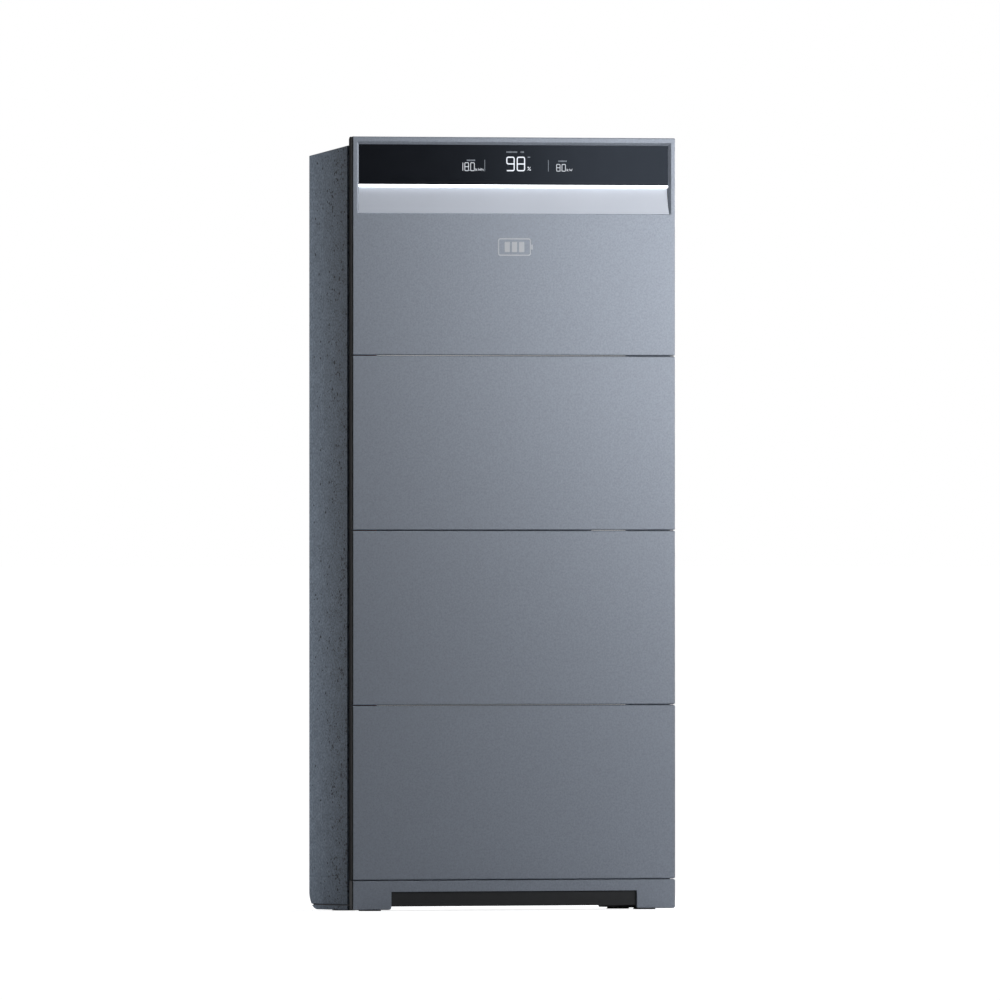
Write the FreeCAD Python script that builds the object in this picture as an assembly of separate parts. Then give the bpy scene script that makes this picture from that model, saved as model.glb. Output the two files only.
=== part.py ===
"""Home battery stack: a power module on three battery modules on a floor stand.

Frame: X runs to the right seen from the front, Y to the back, Z up, in millimetres.
The origin is on the floor under the middle of the stack.
Every function below returns one sub-part, and main() writes each one to parts/NAME.step.
"""

import FreeCAD
import Part
import math
import os

Vector = FreeCAD.Vector

# Driving dimensions of the stack.
WIDTH = 670.0
DEPTH = 172.0
BASE_HEIGHT = 56.0
BATTERY_HEIGHT = 320.0
BATTERY_COUNT = 3
POWER_HEIGHT = 400.0

# Front panels: pressed pans on black carriers.
PANEL_DEPTH = 3.5
PANEL_SHEET = 1.8
PANEL_GAP = 1.5
PANEL_BEVEL = 1.6
PANEL_CORNER = 2.5
REVEAL = 17.0
REVEAL_INSET = 3.0
CARRIER_WALL = 3.0
CARRIER_GAP = 0.5
CARRIER_STANDOFF = 2.5
CARRIER_BACK = 2.5
CARRIER_TOP_ROUND = 6.0

# Side and top covers.
COVER_SHEET = 2.5
COVER_TOP_STEP = 16.5
COVER_TOP_FALL = 17.5
COVER_FLANGE = 9.0
COVER_SEAM = 0.6
COVER_EDGE = 1.2
COVER_RETURN = 12.0
COVER_HEM = 12.0
REAR_CORNER = 32.0
FLOOR_GAP = 2.0

# Module cases.
CASE_HALF = 305.0
CASE_WALL = 2.0
CASE_BACK_GAP = 22.0
CASE_FLANGE = 14.0
CASE_JOINT = 1.0
SEAL_THICK = 1.0
LID_THICK = 2.0
RIB_HEIGHT = 3.0

# Cells and their electronics.
CELL_COUNT = 16
CELL_SIZE = Vector(32.5, 116.0, 200.0)
CELL_PITCH = 33.5
CELL_LIFT = 6.0
TERMINAL_RADIUS = 6.0
TERMINAL_HEIGHT = 4.0
BUSBAR_THICK = 2.0

# Stack couplings, one above each module's left end.
COUPLING_X = -273.0
PLUG_SIZE = Vector(36.0, 60.0, 34.0)
PLUG_RISE = 14.0
SOCKET_WALL = 4.0
SOCKET_DEPTH = 24.0
COUPLING_PLAY = 0.5

# Display and light bar.
RIM = 9.0
BEZEL_SLOPE = 5.0
BEZEL_DEPTH = 3.0
DISPLAY_HEIGHT = 73.0
LIGHT_BAR_HEIGHT = 4.6
LIGHT_BAR_PROUD = 0.4
REFLECTOR_HEIGHT = 48.0
REFLECTOR_REACH = 4.0
GLASS_THICK = 3.0

# Power module: the inverter case on the left, the wiring box on the right.
POWER_CASE_RIGHT = 233.0
POWER_CASE_TOP = 1378.0
FIN_COUNT = 41
FIN_THICK = 2.4
FIN_DEPTH = 15.0
SINK_BASE = 5.0

# Wiring box, service bay and door on the right-hand side.
BOX_LEFT = 237.0
BOX_FACE = 300.0
BOX_FRONT = -58.0
BOX_BACK = 60.0
BOX_BOTTOM = 1070.0
BOX_TOP = 1345.0
GLAND_CHAMBER_TOP = 1105.0
GLAND_CHAMBER_RIGHT = 330.0
BAY_BOTTOM = 1110.0
BAY_TOP = 1341.0
BAY_FRONT = -50.0
BAY_BACK = 58.0
DOOR_FRONT = -45.0
DOOR_BACK = 49.0
DOOR_BOTTOM = 1117.0
DOOR_TOP = 1334.0
DOOR_GAP = 1.0
HINGE_X = 328.5
HINGE_Y = 44.0
HINGE_GAP = 3.0
HINGE_PIN_RADIUS = 1.5
HINGE_BORE_RADIUS = 1.55
HINGE_LUG_RADIUS = 3.5
LUG_HEIGHT = 8.0

# Controls in the service bay and the button above it.
BREAKER_Y = -28.0
BREAKER_Z = 1225.0
LEVER_PIVOT_X = 297.0
LEVER_BARREL = 5.0
LEVER_PIN = 2.0
LEVER_PIN_BORE = 2.05
ISOLATOR_Y = 16.0
ISOLATOR_Z = 1225.0
KNOB_RADIUS = 20.0
SHAFT_RADIUS = 4.0
BUTTON_Z = 1362.0
BUTTON_RADIUS = 8.0
BUTTON_BORE = 8.3
BEZEL_RADIUS = 11.0

# Cable glands.
GLAND_X = 316.0
GLAND_Y = (-35.0, 0.0, 35.0)
CABLE_RADIUS = 6.0
GLAND_THREAD = 9.0
GLAND_NUT = 12.0

# Floor stand.
LEG_WIDTH = 80.0
ARCH_TOP = 35.0
BEAM_BOTTOM = 8.0
STAND_SHEET = 3.0
SKIRT_CORNER = 5.0
FOOT_X = 285.0
FOOT_Y = (-58.0, 45.0)
FOOT_RADIUS = 21.0
FOOT_PAD = 8.0
STUD_RADIUS = 5.0
STUD_BORE = 5.05
STUD_TOP = 50.0
BOSS_RADIUS = 11.0
BOSS_BOTTOM = 30.0
LOCK_NUT = 8.0

# Wall rails.
RAIL_HALF = 250.0
RAIL_HEIGHT = 60.0
RAIL_SHEET = 3.0
RAIL_HOLE_RADIUS = 4.5
RAIL_HOLE_X = 200.0
RAIL_HOLE_PITCH = 30.0
UPPER_RAIL_Z = 1342.0
LOWER_RAIL_Z = 700.0

# Places worked out from the dimensions above.
HALF = WIDTH / 2
FRONT = -DEPTH / 2
BACK = DEPTH / 2
BATTERY_Z = [BASE_HEIGHT + BATTERY_HEIGHT * n for n in range(BATTERY_COUNT)]
POWER_Z = BASE_HEIGHT + BATTERY_HEIGHT * BATTERY_COUNT
TOP = POWER_Z + POWER_HEIGHT
PANEL_BACK = FRONT + PANEL_DEPTH
PANEL_INSIDE = FRONT + PANEL_SHEET
COVER_FRONT = PANEL_BACK + REVEAL
COVER_INSIDE = HALF - COVER_SHEET
CARRIER_HALF = HALF - REVEAL_INSET
COVER_TOP_FRONT = TOP - COVER_TOP_STEP
COVER_TOP_BACK = COVER_TOP_FRONT - COVER_TOP_FALL
CASE_BACK = BACK - CASE_BACK_GAP
LID_BACK = COVER_FRONT + LID_THICK
CASE_FRONT = LID_BACK + SEAL_THICK
CELL_RIGHT = CASE_HALF - 8.0
CELL_LEFT = CELL_RIGHT - CELL_COUNT * CELL_PITCH
GLASS_TOP = TOP - RIM - BEZEL_SLOPE
GLASS_BOTTOM = GLASS_TOP - DISPLAY_HEIGHT
LIGHT_BOTTOM = GLASS_BOTTOM - LIGHT_BAR_HEIGHT
RECESS_BOTTOM = LIGHT_BOTTOM - REFLECTOR_HEIGHT
GLASS_FRONT = FRONT + BEZEL_DEPTH


def block(x0, x1, y0, y1, z0, z1):
    """A box between two corners."""
    return Part.makeBox(x1 - x0, y1 - y0, z1 - z0, Vector(x0, y0, z0))


def rod(radius, start, end):
    """A round bar from one point to another."""
    axis = end - start
    return Part.makeCylinder(radius, axis.Length, start, axis)


def join(shapes):
    """One solid from overlapping or touching shapes, with the seams removed."""
    return shapes[0].multiFuse(shapes[1:]).removeSplitter()


def group(shapes):
    """Several separate solids kept as one sub-part."""
    return Part.makeCompound(shapes)


def prism(points, along):
    """A flat outline through the points, drawn out along a vector."""
    closed = Part.makePolygon(points + points[:1])
    return Part.Face(closed).extrude(along)


def mirrored(shape):
    """The same shape on the other side of the middle plane."""
    return shape.mirror(Vector(0, 0, 0), Vector(1, 0, 0))


def edges_where(shape, test):
    """The edges whose middle passes the test."""
    return [e for e in shape.Edges if test(e.CenterOfMass)]


def near(a, b):
    """True when two sizes agree to within a hundredth of a millimetre."""
    return abs(a - b) < 0.01


def cover_top(y):
    """Height of the sloping top cover at a depth."""
    share = (y - COVER_FRONT) / (BACK - COVER_FRONT)
    return COVER_TOP_FRONT - COVER_TOP_FALL * share


# ---------------------------------------------------------------- front panels


def pan(bottom, top):
    """A pressed front panel: rounded corners, bevelled rim, hollow behind."""
    body = block(-HALF, HALF, FRONT, PANEL_BACK, bottom, top)
    corners = edges_where(body, lambda c: near(abs(c.x), HALF) and near(c.y, (FRONT + PANEL_BACK) / 2))
    body = body.makeFillet(PANEL_CORNER, corners)
    body = body.makeChamfer(PANEL_BEVEL, edges_where(body, lambda c: near(c.y, FRONT)))
    wall = PANEL_SHEET
    hollow = block(-HALF + wall, HALF - wall, PANEL_INSIDE, PANEL_BACK, bottom + wall, top - wall)
    return body.cut(hollow)


def battery_fascia(bottom):
    """The painted front panel of one battery module."""
    return pan(bottom + PANEL_GAP / 2, bottom + BATTERY_HEIGHT - PANEL_GAP / 2)


def opening(front_bottom, back_bottom, shrink=0.0):
    """The tapered hole that the display and the light bar sit in, as a solid."""
    rings = []
    for y, half, bottom, top in (
        (FRONT, HALF - RIM, front_bottom, TOP - RIM),
        (GLASS_FRONT, HALF - RIM - BEZEL_SLOPE, back_bottom, GLASS_TOP),
    ):
        half -= shrink
        corners = [(-half, bottom), (half, bottom), (half, top - shrink), (-half, top - shrink)]
        points = [Vector(x, y, z) for x, z in corners]
        rings.append(Part.makePolygon(points + points[:1]))
    return Part.makeLoft(rings, True, True)


def power_fascia():
    """The painted front panel of the power module, with a bevelled surround for the display."""
    panel = pan(POWER_Z + PANEL_GAP / 2, TOP)
    side = HALF - RIM
    surround = block(-side - 2, side + 2, PANEL_INSIDE, GLASS_FRONT, RECESS_BOTTOM, TOP - RIM + 2)
    panel = join([panel, surround])
    panel = panel.cut(opening(RECESS_BOTTOM, RECESS_BOTTOM))
    lip = prism(
        [
            Vector(-side + PANEL_BEVEL, FRONT, RECESS_BOTTOM),
            Vector(-side + PANEL_BEVEL, FRONT, RECESS_BOTTOM - PANEL_BEVEL),
            Vector(-side + PANEL_BEVEL, FRONT + PANEL_BEVEL, RECESS_BOTTOM),
        ],
        Vector(2 * (side - PANEL_BEVEL), 0, 0),
    )
    return panel.cut(lip)


def carrier_shell(bottom, top, rear_round=0.0):
    """The black tray behind a front panel, before its windows are cut."""
    half = CARRIER_HALF
    inset = PANEL_SHEET + 0.5
    pad = block(-half, half, PANEL_INSIDE, PANEL_BACK, bottom + inset, top - inset)
    body = block(-half, half, PANEL_BACK, COVER_FRONT, bottom, top)
    if rear_round:
        rear_top = edges_where(body, lambda c: near(c.y, COVER_FRONT) and near(c.z, top))
        body = body.makeFillet(rear_round, rear_top)
    shell = join([pad, body])
    wall = CARRIER_WALL
    plate_front = COVER_FRONT - CARRIER_STANDOFF - CARRIER_BACK
    front_room = block(-half + wall, half - wall, FRONT, plate_front, bottom + inset + wall, top - inset - wall)
    plate_back = COVER_FRONT - CARRIER_STANDOFF
    room_top = top - max(wall, rear_round)
    back_room = block(-half + wall, half - wall, plate_back, COVER_FRONT, bottom + wall, room_top)
    return shell.cut(front_room).cut(back_room)


def carrier_feet(bottom, top, columns):
    """Round spacers that hold the tray off the lid behind it."""
    plate_back = COVER_FRONT - CARRIER_STANDOFF
    feet = []
    for x in columns:
        for z in (bottom + 60, top - 60):
            feet.append(rod(6, Vector(x, plate_back, z), Vector(x, COVER_FRONT, z)))
    return feet


def battery_carrier(bottom):
    """The black tray of one battery module, with two stiffening ribs."""
    low = bottom + CARRIER_GAP / 2
    high = bottom + BATTERY_HEIGHT - CARRIER_GAP / 2
    plate_front = COVER_FRONT - CARRIER_STANDOFF - CARRIER_BACK
    pieces = [carrier_shell(low, high)]
    for x in (-110, 110):
        pieces.append(block(x, x + CARRIER_WALL, PANEL_INSIDE, plate_front, low + 4, high - 4))
    pieces += carrier_feet(low, high, (-240, 0, 240))
    return join(pieces)


def power_carrier():
    """The black tray of the power module; its upper half is the pocket for the display."""
    low = POWER_Z + CARRIER_GAP / 2
    high = TOP - CARRIER_GAP
    plate_front = COVER_FRONT - CARRIER_STANDOFF - CARRIER_BACK
    pieces = [carrier_shell(low, high, CARRIER_TOP_ROUND)]
    for x in (-110, 110):
        pieces.append(block(x, x + CARRIER_WALL, PANEL_INSIDE, plate_front, low + 4, RECESS_BOTTOM - 12))
    pieces += carrier_feet(low, POWER_CASE_TOP, (-240, 0, 180))
    surround = block(-HALF + RIM - 2.5, HALF - RIM + 2.5, FRONT, GLASS_FRONT, RECESS_BOTTOM - 2, TOP)
    return join(pieces).cut(surround)


# ---------------------------------------------------------------- display and light bar


def display_glass():
    """The black glass window that hides the display."""
    half = HALF - RIM - BEZEL_SLOPE + 1.5
    return block(-half, half, GLASS_FRONT, GLASS_FRONT + GLASS_THICK, GLASS_BOTTOM, GLASS_TOP + 1.5)


def display_board():
    """The display's circuit board with its lamp blocks in front and a driver chip behind."""
    board_front = GLASS_FRONT + GLASS_THICK + 1.6
    middle = (GLASS_BOTTOM + GLASS_TOP) / 2
    board = block(-150, 150, board_front, board_front + 1.6, middle - 27, middle + 27)
    lamps = []
    for x0, x1, half_height in ((-104, -52, 14), (-24, 40, 20), (62, 116, 14)):
        lamps.append(block(x0, x1, board_front - 1.4, board_front, middle - half_height, middle + half_height))
    driver = block(-12, 12, board_front + 1.6, board_front + 3.2, middle - 9, middle + 9)
    return group([board, driver] + lamps)


def light_guide():
    """The clear bar under the glass that carries the status light."""
    half = HALF - RIM - BEZEL_SLOPE - 0.2
    front = GLASS_FRONT - LIGHT_BAR_PROUD
    bar = block(-half, half, front, front + 4.4, LIGHT_BOTTOM + 0.2, GLASS_BOTTOM - 0.2)
    return bar.makeFillet(0.6, edges_where(bar, lambda c: near(c.y, front)))


def light_reflector():
    """The sloping panel under the light bar, deep at the top and flush at the bottom."""
    top_y = PANEL_INSIDE + REFLECTOR_REACH
    thick = 1.5
    outline = [
        Vector(-HALF, PANEL_INSIDE, RECESS_BOTTOM - 3),
        Vector(-HALF, PANEL_INSIDE, RECESS_BOTTOM),
        Vector(-HALF, top_y, LIGHT_BOTTOM),
        Vector(-HALF, top_y + thick, LIGHT_BOTTOM),
        Vector(-HALF, PANEL_INSIDE + thick, RECESS_BOTTOM - 3),
    ]
    sheet = prism(outline, Vector(WIDTH, 0, 0))
    return sheet.common(join([opening(RECESS_BOTTOM - 5, RECESS_BOTTOM - 5, 0.15), reflector_room()]))


def reflector_room():
    """The space behind the surround that the reflector's top edge reaches into."""
    half = HALF - RIM - BEZEL_SLOPE - 0.15
    return block(-half, half, GLASS_FRONT - 0.5, GLASS_FRONT + 6, RECESS_BOTTOM - 5, GLASS_BOTTOM)


# ---------------------------------------------------------------- cases and lids


def tub(left, right, bottom, top):
    """A sheet case open at the front, with an inward flange for the lid."""
    wall = CASE_WALL
    body = block(left, right, CASE_FRONT, CASE_BACK, bottom, top)
    corners = edges_where(body, lambda c: near(c.y, (CASE_FRONT + CASE_BACK) / 2))
    body = body.makeFillet(4.0, corners)
    room = block(left + wall, right - wall, CASE_FRONT + wall, CASE_BACK - wall, bottom + wall, top - wall)
    reach = CASE_FLANGE
    mouth = block(left + reach, right - reach, CASE_FRONT, CASE_FRONT + wall, bottom + reach, top - reach)
    return body.cut(join([room, mouth]))


def lid_ring(left, right, bottom, top):
    """Where the lid's screws go: five along the top and five along the bottom."""
    spots = []
    for share in (0.03, 0.265, 0.5, 0.735, 0.97):
        x = left + (right - left) * share
        spots += [(x, bottom + 8.0), (x, top - 8.0)]
    return spots


def with_screw_holes(shape, spots):
    """Clearance holes for M4 screws through a lid, seal or flange."""
    y0, y1 = COVER_FRONT - 1, CASE_FRONT + CASE_WALL + 1
    drills = [rod(2.25, Vector(x, y0, z), Vector(x, y1, z)) for x, z in spots]
    return shape.cut(group(drills))


def flat_lid(left, right, bottom, top):
    """A sheet lid with rounded corners."""
    lid = block(left, right, COVER_FRONT, LID_BACK, bottom, top)
    corners = edges_where(lid, lambda c: near(c.y, (COVER_FRONT + LID_BACK) / 2))
    return with_screw_holes(lid.makeFillet(4.0, corners), lid_ring(left, right, bottom, top))


def seal_ring(left, right, bottom, top):
    """A flat rubber ring between a lid and its case."""
    outer = block(left + 2, right - 2, LID_BACK, CASE_FRONT, bottom + 2, top - 2)
    inner = block(left + 13, right - 13, LID_BACK, CASE_FRONT, bottom + 13, top - 13)
    return with_screw_holes(outer.cut(inner), lid_ring(left, right, bottom, top))


def case_span(bottom):
    """Left, right, bottom and top of one battery case."""
    return -CASE_HALF, CASE_HALF, bottom + CASE_JOINT, bottom + BATTERY_HEIGHT - CASE_JOINT


def power_span():
    """Left, right, bottom and top of the inverter case."""
    return -CASE_HALF, POWER_CASE_RIGHT, POWER_Z + CASE_JOINT, POWER_CASE_TOP


def socket_hole(bottom):
    """The hole in a case floor that its coupling socket fills."""
    half_x = PLUG_SIZE.x / 2 + SOCKET_WALL + COUPLING_PLAY
    half_y = PLUG_SIZE.y / 2 + SOCKET_WALL + COUPLING_PLAY
    x = COUPLING_X
    return block(x - half_x, x + half_x, -half_y, half_y, bottom, bottom + CASE_JOINT + CASE_WALL)


def plug_hole(top):
    """The hole in a case roof that its coupling plug stands through."""
    half_x, half_y = PLUG_SIZE.x / 2, PLUG_SIZE.y / 2
    x = COUPLING_X
    return block(x - half_x, x + half_x, -half_y, half_y, top - CASE_JOINT - CASE_WALL, top)


def back_ribs(bottom):
    """Pressed stiffening ribs across the back of a battery case."""
    ribs = []
    for z in (54, 108, 212, 266):
        rib = block(-270, 270, CASE_BACK, CASE_BACK + RIB_HEIGHT, bottom + z - 9, bottom + z + 9)
        rim = edges_where(rib, lambda c: near(c.y, CASE_BACK + RIB_HEIGHT))
        ribs.append(rib.makeChamfer(2.0, rim))
    return ribs


def battery_case(bottom):
    """The steel case of one battery module."""
    left, right, low, high = case_span(bottom)
    case = join([tub(left, right, low, high)] + back_ribs(bottom))
    case = case.cut(socket_hole(bottom)).cut(plug_hole(bottom + BATTERY_HEIGHT))
    return with_screw_holes(case, lid_ring(left, right, low, high))


def battery_lids():
    """The front lids of the battery cases."""
    return group([flat_lid(*case_span(z)) for z in BATTERY_Z])


def power_case():
    """The die-cast case of the inverter."""
    span = power_span()
    return with_screw_holes(tub(*span).cut(socket_hole(POWER_Z)), lid_ring(*span))


def power_lid():
    """The front lid of the inverter case."""
    return flat_lid(*power_span())


def lid_seals():
    """The rubber rings under all the lids."""
    return group([seal_ring(*case_span(z)) for z in BATTERY_Z] + [seal_ring(*power_span())])


def button_screw(x, z):
    """An M4 button-head screw that holds a lid on."""
    head = rod(3.6, Vector(x, COVER_FRONT - 2.0, z), Vector(x, COVER_FRONT, z))
    shank = rod(2.0, Vector(x, COVER_FRONT, z), Vector(x, CASE_FRONT + CASE_WALL + 3, z))
    return join([head, shank])


def case_screws():
    """All the lid screws."""
    spots = lid_ring(*power_span())
    for z in BATTERY_Z:
        spots += lid_ring(*case_span(z))
    return group([button_screw(x, z) for x, z in spots])


# ---------------------------------------------------------------- battery insides


def cell_front():
    """Front face of the row of cells."""
    return CASE_BACK - CASE_WALL - 2 - CELL_SIZE.y


def cell_spots():
    """The left face of every cell in a row."""
    return [CELL_LEFT + CELL_PITCH * n + (CELL_PITCH - CELL_SIZE.x) / 2 for n in range(CELL_COUNT)]


def terminal_rows():
    """Depths of the two rows of cell terminals."""
    middle = cell_front() + CELL_SIZE.y / 2
    return middle - 28, middle + 28


def battery_cells(bottom):
    """Sixteen prismatic cells in a row, each with its two terminals."""
    low = bottom + CELL_LIFT
    front = cell_front()
    cells = []
    for x in cell_spots():
        can = block(x, x + CELL_SIZE.x, front, front + CELL_SIZE.y, low, low + CELL_SIZE.z)
        can = can.makeFillet(2.0, edges_where(can, lambda c: near(c.z, low + CELL_SIZE.z / 2)))
        posts = []
        for y in terminal_rows():
            foot = Vector(x + CELL_SIZE.x / 2, y, low + CELL_SIZE.z)
            posts.append(rod(TERMINAL_RADIUS, foot, foot + Vector(0, 0, TERMINAL_HEIGHT)))
        cells.append(join([can] + posts))
    return group(cells)


def busbars_for(bottom):
    """Links that join the cells in series, and a tab at each end."""
    low = bottom + CELL_LIFT + CELL_SIZE.z + TERMINAL_HEIGHT
    rows = terminal_rows()
    middles = [x + CELL_SIZE.x / 2 for x in cell_spots()]
    links = []
    for n in range(CELL_COUNT - 1):
        y = rows[n % 2]
        links.append(block(middles[n] - 8, middles[n + 1] + 8, y - 9, y + 9, low, low + BUSBAR_THICK))
    for x, y in ((middles[0], rows[1]), (middles[-1], rows[1])):
        links.append(block(x - 8, x + 8, y - 9, y + 9, low, low + BUSBAR_THICK))
    return links


def battery_busbars():
    """The copper links of all the modules."""
    links = []
    for z in BATTERY_Z:
        links += busbars_for(z)
    return group(links)


def clamps_for(bottom):
    """End plates and two steel straps that hold a row of cells together."""
    low = bottom + CELL_LIFT
    front, back = cell_front(), cell_front() + CELL_SIZE.y
    right = CELL_LEFT + CELL_COUNT * CELL_PITCH
    plates = []
    for x in (CELL_LEFT - 4, right):
        plates.append(block(x, x + 4, front, back, low, low + CELL_SIZE.z))
    straps = []
    for z in (low + 50, low + 140):
        outer = block(CELL_LEFT - 5, right + 5, front - 1.5, back + 1.5, z, z + 16)
        inner = block(CELL_LEFT - 4, right + 4, front - 0.5, back + 0.5, z, z + 16)
        straps.append(outer.cut(inner))
    return plates + straps


def cell_clamps():
    """The end plates and straps of all the modules."""
    pieces = []
    for z in BATTERY_Z:
        pieces += clamps_for(z)
    return group(pieces)


def battery_board(bottom):
    """The cell-monitoring board above the busbars, on six posts, with its chips."""
    low = bottom + CELL_LIFT + CELL_SIZE.z + 14
    board = block(-220, 280, -40, 44, low, low + 1.6)
    pieces = [board]
    for x in (-150, -30, 90, 210):
        pieces.append(block(x - 12, x + 12, -16, 8, low + 1.6, low + 4))
    for x in (-90, 30, 150):
        pieces.append(block(x - 20, x + 20, 20, 36, low + 1.6, low + 9))
    return pieces


def battery_boards():
    """The monitoring boards of all the modules."""
    pieces = []
    for z in BATTERY_Z:
        pieces += battery_board(z)
    return group(pieces)


def converter(bottom):
    """The module's voltage converter: a cold plate on the back wall, a board, chokes and capacitors."""
    low, high = bottom + 240, bottom + 312
    wall = CASE_BACK - CASE_WALL
    pieces = [block(-240, 290, wall - 5, wall, low, high)]
    pieces.append(block(-236, 286, wall - 14, wall - 12.4, low + 4, high - 4))
    for x in (-190, -110):
        start = Vector(x, wall - 14, (low + high) / 2)
        pieces.append(rod(27, start, start - Vector(0, 42, 0)))
    for x in range(-20, 200, 44):
        start = Vector(x, wall - 14, (low + high) / 2)
        pieces.append(rod(14, start, start - Vector(0, 34, 0)))
    pieces.append(block(220, 270, wall - 40, wall - 14, low + 12, high - 12))
    return pieces


def battery_converters():
    """The voltage converters of all the modules."""
    pieces = []
    for z in BATTERY_Z:
        pieces += converter(z)
    return group(pieces)


def coupling_plug(seam):
    """A plug that stands up through a module's roof into the module above."""
    x, half_x, half_y = COUPLING_X, PLUG_SIZE.x / 2, PLUG_SIZE.y / 2
    play = COUPLING_PLAY
    low, high = seam + PLUG_RISE - PLUG_SIZE.z, seam + PLUG_RISE
    body = block(x - half_x + play, x + half_x - play, -half_y + play, half_y - play, low, high)
    flange = block(x - half_x - 4, x + half_x + 4, -half_y - 4, half_y + 4, low, low + 4)
    return join([body, flange])


def coupling_socket(seam):
    """A socket in a module's floor that takes the plug from below."""
    x, half_x, half_y = COUPLING_X, PLUG_SIZE.x / 2, PLUG_SIZE.y / 2
    wall = SOCKET_WALL
    low = seam + CASE_JOINT
    body = block(x - half_x - wall, x + half_x + wall, -half_y - wall, half_y + wall, low, low + SOCKET_DEPTH)
    room = block(x - half_x, x + half_x, -half_y, half_y, low, low + SOCKET_DEPTH - 6)
    return body.cut(room)


def stack_couplings():
    """The plug and socket at every seam; the lowest plug is a blank on the stand."""
    pieces = []
    for seam in BATTERY_Z + [POWER_Z]:
        pieces.append(coupling_socket(seam))
        if seam > BASE_HEIGHT:
            pieces.append(coupling_plug(seam))
    x, half_x, half_y, play = COUPLING_X, PLUG_SIZE.x / 2, PLUG_SIZE.y / 2, COUPLING_PLAY
    pieces.append(
        block(x - half_x + play, x + half_x - play, -half_y + play, half_y - play, BASE_HEIGHT, BASE_HEIGHT + 12)
    )
    return group(pieces)


# ---------------------------------------------------------------- power module insides


def heat_sink():
    """The finned extrusion on the inverter's back: a base with upright fins."""
    left, right = -284.0, 212.0
    low, high = 1052.0, 1300.0
    pitch = (right - left - FIN_THICK) / (FIN_COUNT - 1)
    root = CASE_BACK + SINK_BASE
    outline = [Vector(left, CASE_BACK, low)]
    for n in range(FIN_COUNT):
        x = left + pitch * n
        outline += [
            Vector(x, root, low) if n else Vector(x, root + FIN_DEPTH, low),
            Vector(x, root + FIN_DEPTH, low),
            Vector(x + FIN_THICK, root + FIN_DEPTH, low),
            Vector(x + FIN_THICK, root, low),
        ][0 if n else 1 :]
    outline[-1] = Vector(right, CASE_BACK, low)
    return prism(outline, Vector(0, 0, high - low))


def inverter_board():
    """The inverter's main board with its power switches against the back wall."""
    wall = CASE_BACK - CASE_WALL
    board = block(-285, 215, wall - 20, wall - 18.4, 1040, 1350)
    pieces = [board]
    for n in range(8):
        x = -255 + 58 * n
        pieces.append(block(x, x + 34, wall - 18.4, wall, 1250, 1290))
    for n in range(4):
        x = -250 + 90 * n
        pieces.append(block(x, x + 30, wall - 38, wall - 20, 1320, 1345))
    return group(pieces)


def inverter_chokes():
    """Four potted chokes on the main board."""
    face = CASE_BACK - CASE_WALL - 20
    pots = []
    for x in (-235, -140, -45, 50):
        pots.append(rod(38, Vector(x, face, 1095), Vector(x, face - 58, 1095)))
    return group(pots)


def inverter_capacitors():
    """Two rows of smoothing capacitors on the main board."""
    face = CASE_BACK - CASE_WALL - 20
    cans = []
    for x in range(-240, 200, 48):
        for z in (1170, 1216):
            cans.append(rod(17.5, Vector(x, face, z), Vector(x, face - 50, z)))
    return group(cans)


# ---------------------------------------------------------------- wiring box and service bay


def wiring_box():
    """The customer's wiring box: a tub open to the right, with a gland chamber along its foot."""
    wall = CASE_WALL
    front, back = BOX_FRONT, BOX_BACK
    main = block(BOX_LEFT, BOX_FACE, front, back, BOX_BOTTOM, BOX_TOP)
    chamber = block(BOX_LEFT, GLAND_CHAMBER_RIGHT, front, back, BOX_BOTTOM, GLAND_CHAMBER_TOP)
    main_room = block(
        BOX_LEFT + wall, BOX_FACE - wall, front + wall, back - wall, BOX_BOTTOM + wall, BOX_TOP - wall
    )
    chamber_room = block(
        BOX_LEFT + wall,
        GLAND_CHAMBER_RIGHT - wall,
        front + wall,
        back - wall,
        BOX_BOTTOM + wall,
        GLAND_CHAMBER_TOP - wall,
    )
    mouth = block(BOX_FACE - wall, BOX_FACE, front + 10, back - 10, GLAND_CHAMBER_TOP + 8, BOX_TOP - 10)
    box = join([main, chamber]).cut(join([main_room, chamber_room, mouth]))
    holes = [
        rod(GLAND_THREAD + 0.2, Vector(GLAND_X, y, BOX_BOTTOM - 1), Vector(GLAND_X, y, BOX_BOTTOM + wall + 1))
        for y in GLAND_Y
    ]
    return box.cut(group(holes))


def dead_front():
    """The touch guard over the wiring, with windows for the breaker and the isolator shaft."""
    plate = block(BOX_FACE, BOX_FACE + 2, BAY_FRONT + 2.5, BAY_BACK - 2.5, BAY_BOTTOM + 2.5, BAY_TOP - 2.5)
    rim = edges_where(plate, lambda c: near(c.x, BOX_FACE + 1))
    plate = plate.makeFillet(3.0, rim)
    window = block(BOX_FACE, BOX_FACE + 2, BREAKER_Y - 18.5, BREAKER_Y + 18.5, BREAKER_Z - 23, BREAKER_Z + 23)
    shaft = rod(
        SHAFT_RADIUS + 1, Vector(BOX_FACE - 1, ISOLATOR_Y, ISOLATOR_Z), Vector(BOX_FACE + 3, ISOLATOR_Y, ISOLATOR_Z)
    )
    return plate.cut(window).cut(shaft)


def hinge_point(z):
    """A point on the door's hinge line."""
    return Vector(HINGE_X, HINGE_Y, z)


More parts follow.
